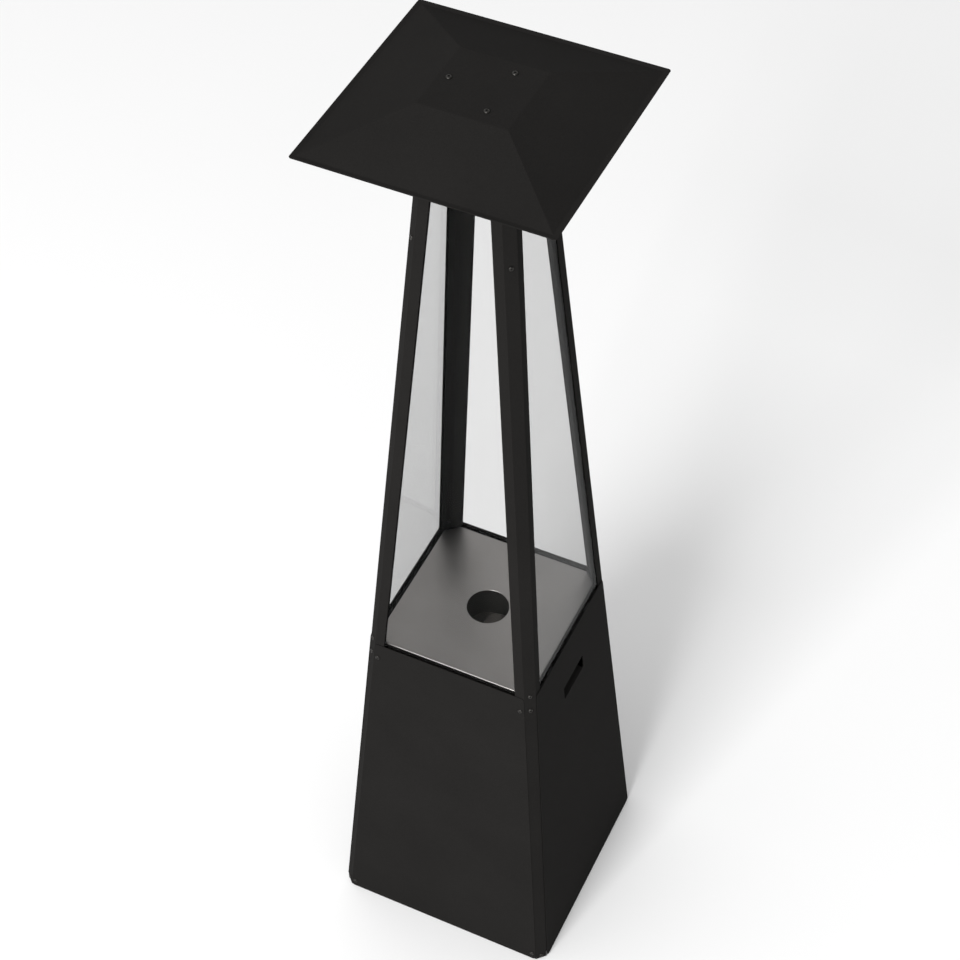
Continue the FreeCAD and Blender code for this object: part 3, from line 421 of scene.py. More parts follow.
class Finishes:
    """Every finish of the heater, made once."""

    def __init__(self) -> None:
        """Build the materials."""
        self.coat = PowderCoat().material()
        self.deck = BrushedSteel("brushed_deck").material()
        self.burner = BrushedSteel("burner_steel", (0.15, 0.142, 0.135), 0.44, Grain.ALONG_Z).material()
        self.glass = ClearGlass().material()
        self.screw = TurnedMetal("dark_screw", (0.055, 0.053, 0.050), 0.34).material()
        self.brass = TurnedMetal("gas_brass", (0.62, 0.46, 0.21)).material()
        self.pipe = TurnedMetal("pipe_metal", (0.58, 0.57, 0.56), 0.32).material()
        self.magnet = TurnedMetal("magnet_steel", (0.34, 0.34, 0.35), 0.25).material()
        self.rubber = Moulded("foot_rubber", (0.018, 0.018, 0.018), 0.75, 700.0, 0.00012).material()
        self.knob = Moulded("control_plastic", (0.022, 0.022, 0.023), 0.46).material()
        self.button = Moulded("button_plastic", (0.34, 0.022, 0.015), 0.22, 500.0, 0.00001).material()
        self.ceramic = Moulded("spark_ceramic", (0.78, 0.755, 0.70), 0.16, 260.0, 0.00002).material()
        self.sleeve = Moulded("lead_sleeve", (0.24, 0.225, 0.21), 0.6, 900.0, 0.00004).material()


# ---------------------------------------------------------------- mesh helpers
class Edge(Enum):
    """Reach of the round on a piece's edges and the shortest edge that gets one, in metres."""

    PANEL = (0.5 * MM, 0.9 * MM)
    BRACKET = (0.3 * MM, 2.5 * MM)
    FOOT = (0.6 * MM, 1.0 * MM)
    POST = (0.35 * MM, 2.0 * MM)
    RAIL = (0.3 * MM, 3.0 * MM)
    PANE = (0.4 * MM, 3.0 * MM)
    KNOB = (0.5 * MM, 1.4 * MM)
    IGNITER = (0.3 * MM, 1.2 * MM)
    BUTTON = (0.4 * MM, 1.0 * MM)
    SWITCH = (0.8 * MM, 2.0 * MM)


def new_object(name: str, mesh: bpy.types.Mesh, material: bpy.types.Material,
               smooth_angle: float = SMOOTH_ANGLE) -> bpy.types.Object:
    """Put a mesh in the scene at the origin.

    Args:
        name: piece name.
        mesh: its mesh, already in place.
        material: its finish.
        smooth_angle: edges sharper than this many degrees stay sharp.

    Returns:
        The new object.
    """
    piece = bpy.data.objects.new(name, mesh)
    bpy.context.scene.collection.objects.link(piece)
    mesh.materials.clear()
    mesh.materials.append(material)
    mesh.shade_smooth()
    mesh.set_sharp_from_angle(angle=math.radians(smooth_angle))
    settle_normals(piece)
    return piece


def settle_normals(piece: bpy.types.Object) -> None:
    """Let large faces keep their own direction, so that only narrow folds look round.

    Args:
        piece: object whose mesh is replaced.
    """
    modifier = piece.modifiers.new("normals", "WEIGHTED_NORMAL")
    modifier.mode = "FACE_AREA"
    modifier.weight = 100
    modifier.keep_sharp = True
    bpy.context.view_layer.update()
    seen = piece.evaluated_get(bpy.context.evaluated_depsgraph_get())
    mesh = bpy.data.meshes.new_from_object(seen)
    mesh.name = piece.name
    piece.modifiers.clear()
    piece.data = mesh


def merged(node: bpy.types.Object) -> bmesh.types.BMesh:
    """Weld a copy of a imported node's mesh and join its flat areas into large faces.

    Args:
        node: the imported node's object.

    Returns:
        The copy, to be freed by the caller.
    """
    bm = bmesh.new()
    bm.from_mesh(node.data)
    bmesh.ops.remove_doubles(bm, verts=bm.verts, dist=WELD)
    bmesh.ops.dissolve_limit(bm, angle_limit=math.radians(FLAT_ANGLE), verts=bm.verts, edges=bm.edges)
    return bm


def soften(node: bpy.types.Object, edge: Edge, sharp: float = 40.0) -> bpy.types.Mesh:
    """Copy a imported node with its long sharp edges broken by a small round.

    Args:
        node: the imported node's object.
        edge: the round's reach, and the shortest edge that gets one.
        sharp: least angle between faces of an edge that is broken, in degrees.

    Returns:
        The new mesh.
    """
    width, shortest = edge.value
    bm = merged(node)
    edges = [e for e in bm.edges if len(e.link_faces) == 2 and e.calc_length() > shortest
             and e.calc_face_angle(0.0) > math.radians(sharp)]
    bmesh.ops.bevel(bm, geom=edges, offset=width, offset_type="OFFSET", segments=2, profile=0.5,
                    affect="EDGES", clamp_overlap=False)
    return to_mesh(bm, node.name + "_soft")


def rounded(points: Sequence[Point], radii: Sequence[float], steps: int = 4) -> list[Point]:
    """Round a closed outline's corners with arcs.

    Args:
        points: corners in order.
        radii: one radius per corner, 0 for a sharp one.
        steps: straight pieces per arc.

    Returns:
        The outline's points.
    """
    result: list[Point] = []
    count = len(points)
    for i, (corner, radius) in enumerate(zip(points, radii)):
        here = Vector(corner)
        back = (Vector(points[i - 1]) - here).normalized()
        ahead = (Vector(points[(i + 1) % count]) - here).normalized()
        if radius <= 0:
            result.append(tuple(here))
            continue
        half = back.angle(ahead) / 2
        centre = here + (back + ahead).normalized() * (radius / math.sin(half))
        first = here + back * (radius / math.tan(half)) - centre
        last = here + ahead * (radius / math.tan(half)) - centre
        sweep = first.angle_signed(last)
        for step in range(steps + 1):
            turned = Matrix.Rotation(-sweep * step / steps, 2) @ first
            result.append(tuple(centre + turned))
    return result


def rounded_square(half: float, radius: float, steps: int = 5) -> list[Point]:
    """A square about the axis with round corners, as points in order."""
    corners = ((half, -half), (half, half), (-half, half), (-half, -half))
    return rounded(corners, (radius,) * 4, steps)


def skin(rings: Sequence[Sequence[Vector]], hoop: bool = False) -> bmesh.types.BMesh:
    """Join rings with the same number of points into a closed solid's skin.

    Args:
        rings: each ring's points.
        hoop: the last ring joins the first, and nothing is capped.

    Returns:
        The mesh, with outward faces.
    """
    bm = bmesh.new()
    loops = [[bm.verts.new(point) for point in ring] for ring in rings]
    count = len(loops[0])
    after = loops[1:] + loops[:1] if hoop else loops[1:]
    for low, high in zip(loops, after):
        for i in range(count):
            bm.faces.new((low[i], low[(i + 1) % count], high[(i + 1) % count], high[i]))
    if not hoop:
        bm.faces.new(list(reversed(loops[0])))
        bm.faces.new(loops[-1])
    bmesh.ops.recalc_face_normals(bm, faces=bm.faces)
    return bm


def to_mesh(bm: bmesh.types.BMesh, name: str) -> bpy.types.Mesh:
    """Write a bmesh to a new mesh and free it.

    Args:
        bm: what is written.
        name: the new mesh's name.

    Returns:
        The new mesh.
    """
    mesh = bpy.data.meshes.new(name)
    bm.to_mesh(mesh)
    bm.free()
    return mesh


def islands(node: bpy.types.Object) -> list[list[Vector]]:
    """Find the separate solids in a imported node.

    Args:
        node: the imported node's object.

    Returns:
        Corner points of each solid.
    """
    bm = merged(node)
    seen: set[int] = set()
    found = []
    bm.verts.ensure_lookup_table()
    for start in bm.verts:
        if start.index in seen:
            continue
        stack = [start]
        seen.add(start.index)
        group = []
        while stack:
            vert = stack.pop()
            group.append(vert.co.copy())
            for edge in vert.link_edges:
                other = edge.other_vert(vert)
                if other.index not in seen:
                    seen.add(other.index)
                    stack.append(other)
        found.append(group)
    bm.free()
    return found


# ---------------------------------------------------------------- geometry nodes
class GeometryTree:
    """Builds one Geometry Nodes group with named inputs."""

    def __init__(self, name: str, inputs: Iterable[tuple[str, str]]) -> None:
        """Start a group.

        Args:
            name: the group's name.
            inputs: names and socket types after the geometry input.
        """
        self.tree = bpy.data.node_groups.new(name, "GeometryNodeTree")
        face = self.tree.interface
        face.new_socket(name="Geometry", in_out="INPUT", socket_type="NodeSocketGeometry")
        for label, kind in inputs:
            face.new_socket(name=label, in_out="INPUT", socket_type=kind)
        face.new_socket(name="Geometry", in_out="OUTPUT", socket_type="NodeSocketGeometry")
        self.entry = self.tree.nodes.new("NodeGroupInput")
        self.exit = self.tree.nodes.new("NodeGroupOutput")

    def add(self, kind: str, links: dict[object, object] | None = None,
            **settings: object) -> bpy.types.Node:
        """Add a node.

        Args:
            kind: node type.
            links: sockets or values by input name or index.
            settings: properties that are set first.

        Returns:
            The node.
        """
        made = self.tree.nodes.new(kind)
        for name, value in settings.items():
            setattr(made, name, value)
        for key, value in (links or {}).items():
            many = value if isinstance(value, list) else [value]
            for item in many:
                if isinstance(item, bpy.types.NodeSocket):
                    self.tree.links.new(item, made.inputs[key])
                else:
                    made.inputs[key].default_value = item
        return made

    def given(self, label: str) -> bpy.types.NodeSocket:
        """The group's own input of that name."""
        return self.entry.outputs[label]

    def close(self, geometry: bpy.types.NodeSocket) -> None:
        """End the group in real geometry with its material set.

        Args:
            geometry: what the group has made.
        """
        real = self.add("GeometryNodeRealizeInstances", {"Geometry": geometry})
        coated = self.add("GeometryNodeSetMaterial", {"Geometry": real.outputs[0],
                                                      "Material": self.given("Finish")})
        self.tree.links.new(coated.outputs[0], self.exit.inputs[0])

    def run(self, name: str, start: bpy.types.Mesh, values: dict[str, object]) -> bpy.types.Mesh:
        """Evaluate the group on a mesh.

        Args:
            name: name of the resulting mesh.
            start: mesh that goes in.
            values: the named inputs.

        Returns:
            A plain mesh.
        """
        holder = bpy.data.objects.new(name + "_holder", start)
        bpy.context.scene.collection.objects.link(holder)
        modifier = holder.modifiers.new("build", "NODES")
        modifier.node_group = self.tree
        for item in self.tree.interface.items_tree:
            if item.in_out == "INPUT" and item.name in values:
                modifier[item.identifier] = values[item.name]
        bpy.context.view_layer.update()
        seen = holder.evaluated_get(bpy.context.evaluated_depsgraph_get())
        mesh = bpy.data.meshes.new_from_object(seen)
        mesh.name = name
        holder.modifiers.clear()
        bpy.data.objects.remove(holder)
        return mesh


def leaning_strip_tree() -> GeometryTree:
    """A filled section pushed along a slanted line, closed at both ends.

    Returns:
        The group, with the inputs Rise and Finish.
    """
    g = GeometryTree("leaning_strip", (("Rise", "NodeSocketVector"), ("Finish", "NodeSocketMaterial")))
    section = g.given("Geometry")
    pushed = g.add("GeometryNodeExtrudeMesh",
                   {"Mesh": section, "Offset": g.given("Rise"), "Individual": False})
    floor = g.add("GeometryNodeFlipFaces", {"Mesh": section})
    both = g.add("GeometryNodeJoinGeometry", {"Geometry": [pushed.outputs["Mesh"], floor.outputs[0]]})
    welded = g.add("GeometryNodeMergeByDistance", {"Geometry": both.outputs[0], "Distance": 1e-6})
    g.close(welded.outputs[0])
    return g


def screw_tree() -> GeometryTree:
    """A copy of one screw on every point, its head along the point's aim and its socket turned at random.

    Returns:
        The group, with the inputs Screw and Finish.
    """
    g = GeometryTree("screws", (("Screw", "NodeSocketObject"), ("Finish", "NodeSocketMaterial")))
    aim = g.add("GeometryNodeInputNamedAttribute", {"Name": "aim"}, data_type="FLOAT_VECTOR")
    turn = g.add("FunctionNodeAlignRotationToVector", {"Vector": aim.outputs["Attribute"]}, axis="Z")
    spin = g.add("FunctionNodeRandomValue", {"Max": math.tau, "Seed": 7}, data_type="FLOAT")
    own = g.add("FunctionNodeAxisAngleToRotation", {"Axis": (0.0, 0.0, 1.0), "Angle": spin.outputs[1]})
    whole = g.add("FunctionNodeRotateRotation", {0: turn.outputs[0], 1: own.outputs[0]},
                  rotation_space="LOCAL")
    shape = g.add("GeometryNodeObjectInfo", {"Object": g.given("Screw")})
    points = g.add("GeometryNodeMeshToPoints", {"Mesh": g.given("Geometry")})
    placed = g.add("GeometryNodeInstanceOnPoints", {"Points": points.outputs[0], "Rotation": whole.outputs[0],
                                                    "Instance": shape.outputs["Geometry"]})
    g.close(placed.outputs[0])
    return g


def rib_tree() -> GeometryTree:
    """Copies of one rib around the X axis, joined to the piece that goes in.

    Returns:
        The group, with the inputs Rib, Count, Radius, Place and Finish.
    """
    g = GeometryTree("grip_ribs", (("Rib", "NodeSocketObject"), ("Count", "NodeSocketInt"),
                                   ("Radius", "NodeSocketFloat"), ("Place", "NodeSocketVector"),
                                   ("Finish", "NodeSocketMaterial")))
    ring = g.add("GeometryNodeMeshCircle", {"Vertices": g.given("Count"), "Radius": g.given("Radius")})
    place = g.add("GeometryNodeInputPosition")
    turn = g.add("FunctionNodeAlignRotationToVector", {"Vector": place.outputs[0]}, axis="X")
    shape = g.add("GeometryNodeObjectInfo", {"Object": g.given("Rib")})
    ribs = g.add("GeometryNodeInstanceOnPoints", {"Points": ring.outputs[0], "Rotation": turn.outputs[0],
                                                  "Instance": shape.outputs["Geometry"]})
    real = g.add("GeometryNodeRealizeInstances", {"Geometry": ribs.outputs[0]})
    moved = g.add("GeometryNodeTransform", {"Geometry": real.outputs[0], "Translation": g.given("Place"),
                                            "Rotation": (0.0, math.pi / 2, 0.0)})
    both = g.add("GeometryNodeJoinGeometry", {"Geometry": [g.given("Geometry"), moved.outputs[0]]})
    g.close(both.outputs[0])
    return g


# ---------------------------------------------------------------- common form
@dataclass(frozen=True)
class Taper:
    """The four leaning faces, and the section that follows each corner."""

    base_half: float = 0.248
    head_half: float = 0.0825
    head_height: float = 2.1
    corner_flat: float = 0.025
    wing: float = 0.020

    @property
    def lean(self) -> float:
        """How far a face comes in for each metre of height."""
        return (self.base_half - self.head_half) / self.head_height

    def half(self, height: float) -> float:
        """Half width over the post faces at a height."""
        return self.base_half - self.lean * height

    def strip_section(self, half: float, inset: float, flat: float, thick: float, bend: float) -> list[Point]:
        """Section of a folded corner strip, for the corner where x and y are positive.

        Args:
            half: half width over the post faces at the section's height.
            inset: how far the strip's wings stand inside the post faces.
            flat: what the flat cuts off both half widths added, on the strip's outer side.
            thick: sheet thickness.
            bend: radius inside each fold.

        Returns:
            The closed outline.
        """
        end = half - self.corner_flat / math.sqrt(2) - self.wing
        out = half - inset
        inner = out - thick
        flat_in = flat + math.sqrt(2) * thick
        bend_out = 2 * half - flat - out
        bend_in = 2 * half - flat_in - inner
        points = ((end, out), (bend_out, out), (out, bend_out), (out, end),
                  (inner, end), (inner, bend_in), (bend_in, inner), (end, inner))
        edge = thick * 0.3
        radii = (edge, bend + thick, bend + thick, edge, edge, bend, bend, edge)
        return rounded(points, radii)


CORNERS = (("front_left", -1, -1), ("front_right", 1, -1), ("rear_left", -1, 1), ("rear_right", 1, 1))
FACES = ("front", "right", "rear", "left")


# ---------------------------------------------------------------- sub-assemblies
@dataclass
class Assembly:
    """A group of pieces that are dressed together."""

    finishes: Finishes
    frame: dict
    taper: Taper = field(default_factory=Taper)

    def body_of(self, node: str) -> str:
        """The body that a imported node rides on."""
        bodies = self.frame["record"]["behaviour"]["bodies"]
        return next(body for body, members in bodies.items() if node in members)

    def dress(self, material: bpy.types.Material, *nodes: str) -> None:
        """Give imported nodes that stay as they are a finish.

        Args:
            material: the finish.
            nodes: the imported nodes.
        """
        for node in nodes:
            mesh = self.frame["nodes"][node].data
            mesh.materials.clear()
            mesh.materials.append(material)
            log.info("dressed %s", node)

    def stand_for(self, piece: bpy.types.Object, node: str) -> None:
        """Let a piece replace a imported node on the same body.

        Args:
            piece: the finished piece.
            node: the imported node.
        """
        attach(piece, self.body_of(node))
        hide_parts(node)
        log.info("built %s for %s", piece.name, node)

    def soft_copy(self, node: str, material: bpy.types.Material, edge: Edge) -> None:
        """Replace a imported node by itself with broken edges.

        Args:
            node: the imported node.
            material: its finish.
            edge: how its edges are broken.
        """
        piece = new_object(node + "_skin", soften(self.frame["nodes"][node], edge), material)
        self.stand_for(piece, node)


@dataclass
class Hood(Assembly):
    """Square roof: flat crown, four slopes, a narrow rim that turns up a little, and a hemmed edge."""

    crown_half: float = 80 * MM
    crease_half: float = 220 * MM
    sheet: float = 1.5 * MM
    drop: float = 50.6 * MM
    rim_rise: float = 1.1 * MM
    hem: float = 1.5 * MM
    corner: float = 5 * MM
    fold: float = 2.2 * MM
    crown_edge: float = 30 * MM
    smooth_angle: float = 50.0

    def ring(self, half: float, height: float, corner: float) -> list[Vector]:
        """A rounded square ring at a height."""
        return [Vector((x, y, height)) for x, y in rounded_square(half, corner)]

    def build(self) -> None:
        """Build the roof as one closed sheet with soft folds."""
        low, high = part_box("hood")
        half, top, foot = high[0], high[2], low[2]
        crown, crease, fold, hem, corner = self.crown_half, self.crease_half, self.fold, self.hem, self.corner
        eave = top - self.drop
        slope = self.drop / (crease - crown)
        rim = eave + self.rim_rise
        upper = (
            # flat crown, and the fold into the slopes
            (crown - self.crown_edge, top, 0.3 * MM),
            (crown - fold, top, 0.3 * MM),
            (crown, top - slope * fold * 0.28, 0.4 * MM),
            (crown + fold, top - slope * fold * 1.05, 0.5 * MM),
            # crease between the slopes and the rim
            (crease - fold * 0.8, eave + slope * fold * 0.8, 0.9 * MM),
            (crease, eave + slope * fold * 0.2, 1.0 * MM),
            (crease + fold * 0.6, eave + 0.15 * MM, 1.2 * MM),
            # rim, rolled over at its edge
            (half - hem * 1.6, rim - 0.1 * MM, corner - hem),
            (half - hem * 1.0, rim + 0.35 * MM, corner - hem * 0.8),
            (half - hem * 0.3, rim + 0.15 * MM, corner - hem * 0.2),
            (half, rim - 0.5 * MM, corner),
        )
        under = (
            # hem turned back under the rim
            (half - hem * 0.2, rim - 1.5 * MM, corner - hem * 0.2),
            (half - hem, foot + 0.2 * MM, corner - hem * 0.8),
            (half - hem * 4.5, foot + 0.2 * MM, 1.5 * MM),
            (half - hem * 4.7, foot + 0.6 * MM, 1.5 * MM),
            # underside of the slopes and of the crown
            (crease, eave - self.sheet + 0.4 * MM, 1.0 * MM),
            (crown, top - self.sheet - 0.2 * MM, 0.4 * MM),
            (crown - self.crown_edge, top - self.sheet, 0.3 * MM),
        )
        mesh = to_mesh(skin([self.ring(*step) for step in upper + under]), "hood_sheet")
        piece = new_object("hood_sheet", mesh, self.finishes.coat, self.smooth_angle)
        self.stand_for(piece, "hood")


@dataclass
class Posts(Assembly):
    """Four folded corner posts and the clamp strips behind the panes."""

    post_sheet: float = 1.5 * MM
    clamp_sheet: float = 1.2 * MM
    clamp_inset: float = 6.112 * MM
    bend: float = 0.8 * MM

    def strip(self, node: str, sx: int, sy: int, inset: float, flat: float, thick: float,
              tree: GeometryTree) -> None:
        """Build one leaning strip and let it stand for its node.

        Args:
            node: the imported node.
            sx: side along X.
            sy: side along Y.
            inset: how far its wings stand inside the post faces.
            flat: what its flat cuts off the corner.
            thick: sheet thickness.
            tree: the group that pushes the section up.
        """
        low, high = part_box(node)
        half = self.taper.half(low[2])
        outline = self.taper.strip_section(half, inset, flat, thick, self.bend)
        bm = bmesh.new()
        face = bm.faces.new([bm.verts.new((sx * x, sy * y, low[2])) for x, y in outline])
        face.normal_update()
        if face.normal.z < 0:
            face.normal_flip()
        rise = high[2] - low[2]
        lean = self.taper.lean * rise
        mesh = tree.run(node + "_strip", to_mesh(bm, node + "_section"),
                        {"Rise": (-sx * lean, -sy * lean, rise), "Finish": self.finishes.coat})
        self.stand_for(new_object(node + "_strip", mesh, self.finishes.coat), node)

    def build(self) -> None:
        """Build the eight strips; the right posts keep the door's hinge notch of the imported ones."""
        tree = leaning_strip_tree()
        cut = self.taper.corner_flat / math.sqrt(2)
        cut_inside = cut + math.sqrt(2) * self.post_sheet
        for corner, sx, sy in CORNERS:
            if sx > 0:
                self.soft_copy("post_" + corner, self.finishes.coat, Edge.POST)
            else:
                self.strip("post_" + corner, sx, sy, 0.0, cut, self.post_sheet, tree)
            self.strip("glass_clamp_" + corner, sx, sy, self.clamp_inset, cut_inside, self.clamp_sheet, tree)


@dataclass(frozen=True)
class ScrewForm:
    """Sizes of one kind of button-head screw with a hexagon socket, in metres."""

    head: float
    rise: float
    shank: float
    reach: float

    def profile(self) -> list[Point]:
        """Work out the turned outline.

        Returns:
            Radius and height of each ring, from the shank's tip to the rim of the socket.
        """
        shank, head, rise, socket = self.shank, self.head, self.rise, self.socket
        return [(shank * 0.8, -self.reach), (shank, -self.reach + shank * 0.3), (shank, 0.0),
                (head * 0.97, 0.0), (head, rise * 0.12), (head * 0.97, rise * 0.42),
                (head * 0.84, rise * 0.74), (head * 0.66, rise * 0.95),
                (socket * 1.22, rise), (socket * 1.04, rise * 0.97)]

    @property
    def socket(self) -> float:
        """Radius over the corners of the socket."""
        return self.head * 0.42


CASE_SCREW = ScrewForm(4.6 * MM, 2.6 * MM, 2.5 * MM, 6.5 * MM)
HOOD_SCREW = ScrewForm(5.52 * MM, 2.99 * MM, 3.0 * MM, 15 * MM)


@dataclass
class Fasteners(Assembly):
    """Button-head screws with a hexagon socket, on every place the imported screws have."""

    sides: int = 28
    smooth_angle: float = 30.0
    plate_reach: float = 170 * MM
    plate_band: tuple[float, float] = (830 * MM, 850 * MM)

    def round_ring(self, radius: float, height: float) -> list[Vector]:
        """A circle about the screw's axis."""
        turns = [math.tau * i / self.sides for i in range(self.sides)]
        return [Vector((radius * math.cos(turn), radius * math.sin(turn), height)) for turn in turns]

    def socket_ring(self, radius: float, height: float) -> list[Vector]:
        """A hexagon about the screw's axis with as many points as the circles.

        Args:
            radius: radius over its corners.
            height: height above the head's seat.

        Returns:
            The ring's points.
        """
        ring = []
        for i in range(self.sides):
            turn = math.tau * i / self.sides
            reach = radius * math.cos(math.pi / 6) / math.cos((turn % (math.pi / 3)) - math.pi / 6)
            ring.append(Vector((math.cos(turn) * reach, math.sin(turn) * reach, height)))
        return ring

    def screw(self, form: ScrewForm) -> bpy.types.Object:
        """One screw about the Z axis, its head sitting on z = 0.

        Args:
            form: its sizes.

        Returns:
            A holder object, removed after use.
        """
        rings = [self.round_ring(radius, height) for radius, height in form.profile()]
        rings.append(self.socket_ring(form.socket, form.rise * 0.93))
        rings.append(self.socket_ring(form.socket * 0.97, form.rise * 0.34))
        holder = bpy.data.objects.new("screw_pattern", to_mesh(skin(rings), "screw_pattern"))
        bpy.context.scene.collection.objects.link(holder)
        return holder

    def case_aim(self, middle: Vector) -> Vector:
        """Which way the head of a screw in the case looks.

        Args:
            middle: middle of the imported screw.

        Returns:
            Up for the control plate's screws, square to the post's flat or to the leaning face otherwise.
        """
        lean = self.taper.lean
        side = Vector((math.copysign(1, middle.x), math.copysign(1, middle.y), 0))
        if abs(middle.x) < self.plate_reach and self.plate_band[0] < middle.z < self.plate_band[1]:
            return Vector((0, 0, 1))
        if abs(abs(middle.x) - abs(middle.y)) < 4 * MM:
            return Vector((side.x, side.y, 2 * lean)).normalized()
        if abs(middle.x) > abs(middle.y):
            return Vector((side.x, 0, lean)).normalized()
        return Vector((0, side.y, lean)).normalized()

    def group(self, node: str, aim_of: Callable[[Vector], Vector], form: ScrewForm,
              tree: GeometryTree) -> None:
        """Replace one node of screws.

        Args:
            node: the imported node.
            aim_of: gives the head's direction at a place.
            form: the screws' sizes.
            tree: the group that sets the screws.
        """
        seats = []
        aims = []
        for points in islands(self.frame["nodes"][node]):
            middle = sum(points, Vector()) / len(points)
            aim = aim_of(middle)
            axis_point = middle - aim * middle.dot(aim)
            seats.append(axis_point + aim * (max(p.dot(aim) for p in points) - form.rise))
            aims.append(aim)
        start = bpy.data.meshes.new(node + "_seats")
        start.from_pydata([tuple(seat) for seat in seats], [], [])
        attribute = start.attributes.new("aim", "FLOAT_VECTOR", "POINT")
        attribute.data.foreach_set("vector", [value for aim in aims for value in aim])
        pattern = self.screw(form)
        mesh = tree.run(node + "_heads", start, {"Screw": pattern, "Finish": self.finishes.screw})
        bpy.data.objects.remove(pattern)
        self.stand_for(new_object(node + "_heads", mesh, self.finishes.screw, self.smooth_angle), node)

    def build(self) -> None:
        """Build the three groups of screws; the hood's look up above the studs and down below them."""
        tree = screw_tree()
        self.group("corner_screws", self.case_aim, CASE_SCREW, tree)
        self.group("panel_screws", self.case_aim, CASE_SCREW, tree)
        low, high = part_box("hood_studs")
        split = (low[2] + high[2]) / 2
        self.group("hood_screws", lambda place: Vector((0, 0, 1 if place.z > split else -1)),
                   HOOD_SCREW, tree)


@dataclass
class BaseSkin(Assembly):
    """Panels, door, tray, sill, feet and hinge of the base."""

    def build(self) -> None:
        """Dress the base."""
        for node in ("panel_front", "panel_left", "panel_rear", "access_door"):
            self.soft_copy(node, self.finishes.coat, Edge.PANEL)
        for node in ("floor_tray", "door_sill", "sill_lug_front", "sill_lug_rear",
                     "door_lug_front", "door_lug_rear"):
            self.soft_copy(node, self.finishes.coat, Edge.BRACKET)
        for corner, _, _ in CORNERS:
            self.soft_copy("foot_" + corner, self.finishes.rubber, Edge.FOOT)
        self.dress(self.finishes.magnet, "door_magnets")
        self.dress(self.finishes.burner, "hinge_pins")


@dataclass
class Deck(Assembly):
    """Brushed sheet with cut corners, a folded skirt and the round burner opening."""

    sheet: float = 1.5 * MM
    cut: float = 25 * MM
    opening: float = 43 * MM
    collar: float = 9 * MM
    fold: float = 2.4 * MM
    fold_steps: int = 6
    edge_steps: int = 11
    corner_steps: int = 3

    def rays(self, half: float) -> list[float]:
        """Directions from the middle that reach each corner and a few points on each edge.

        Args:
            half: half width of the sheet.

        Returns:
            Angles in radians, in order.
        """
        corner = math.atan2(half - self.cut, half)
        stops = []
        for quarter in range(4):
            start = quarter * math.pi / 2
            for low, high, steps in ((-corner, corner, self.edge_steps),
                                     (corner, math.pi / 2 - corner, self.corner_steps)):
                stops += [start + low + (high - low) * step / steps for step in range(steps)]
        return stops

    def octagon(self, half: float, cut: float, height: float, angles: Sequence[float]) -> list[Vector]:
        """Ring on a square with cut corners.

        Args:
            half: half width.
            cut: what each corner loses along both sides.
            height: height above the floor.
            angles: directions of the ring's points.

        Returns:
            The ring's points.
        """
        ring = []
        for angle in angles:
            x, y = math.cos(angle), math.sin(angle)
            reach = min(half / max(abs(x), abs(y)), (2 * half - cut) / (abs(x) + abs(y)))
            ring.append(Vector((x * reach, y * reach, height)))
        return ring

    def build(self) -> None:
        """Build the deck as one folded sheet, from the opening over the fold and back underneath."""
        low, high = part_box("deck_plate")
        half, top, foot = high[0], high[2], low[2]
        angles = self.rays(half)
        mitre = 2 - math.sqrt(2)
        edge = self.sheet * 0.25

        def around(radius: float, height: float) -> list[Vector]:
            """Ring on the burner opening."""
            return [Vector((radius * math.cos(a), radius * math.sin(a), height)) for a in angles]

        def skirt(inset: float, height: float) -> list[Vector]:
            """Ring on the skirt or near it."""
            return self.octagon(half - inset, self.cut - inset * mitre, height, angles)

        fold, sheet = self.fold, self.sheet
        collar = self.opening + self.collar
        rings = [around(self.opening, top - edge), around(self.opening + edge, top), around(collar, top),
                 skirt(fold * 2, top), skirt(fold, top)]
        for step in range(1, self.fold_steps):
            turn = math.pi / 2 * step / self.fold_steps
            rings.append(skirt(fold * (1 - math.sin(turn)), top - fold * (1 - math.cos(turn))))
        rings += [skirt(0, top - fold), skirt(0, foot + edge), skirt(edge, foot), skirt(sheet - edge, foot),
                  skirt(sheet, foot + edge), skirt(sheet, top - fold), skirt(fold, top - sheet),
                  around(collar, top - sheet), around(self.opening + edge, top - sheet),
                  around(self.opening, top - sheet + edge)]
        mesh = to_mesh(skin(rings, hoop=True), "deck_sheet")
        self.stand_for(new_object("deck_sheet", mesh, self.finishes.deck), "deck_plate")


@dataclass
class FlameChamber(Assembly):
    """Rails, panes and head frame."""

    def build(self) -> None:
        """Dress the flame chamber."""
        for face in FACES:
            self.soft_copy("deck_rail_" + face, self.finishes.coat, Edge.RAIL)
            self.soft_copy("glass_" + face, self.finishes.glass, Edge.PANE)
        self.dress(self.finishes.rubber, "glass_blocks")
        self.soft_copy("head_frame", self.finishes.coat, Edge.BRACKET)
        self.dress(self.finishes.burner, "hood_studs")


@dataclass
class Burner(Assembly):
    """Burner cup, head, mixer, probes, pipes and leads."""

    def build(self) -> None:
        """Dress the burner."""
        f = self.finishes
        self.dress(f.burner, "burner_cup", "burner_head", "mixer_tube")
        self.dress(f.brass, "gas_jet", "pilot_burner", "thermocouple")
        self.dress(f.ceramic, "spark_electrode")
        self.dress(f.pipe, "gas_pipe", "pilot_tube", "thermocouple_lead")
        self.dress(f.sleeve, "ignition_lead")


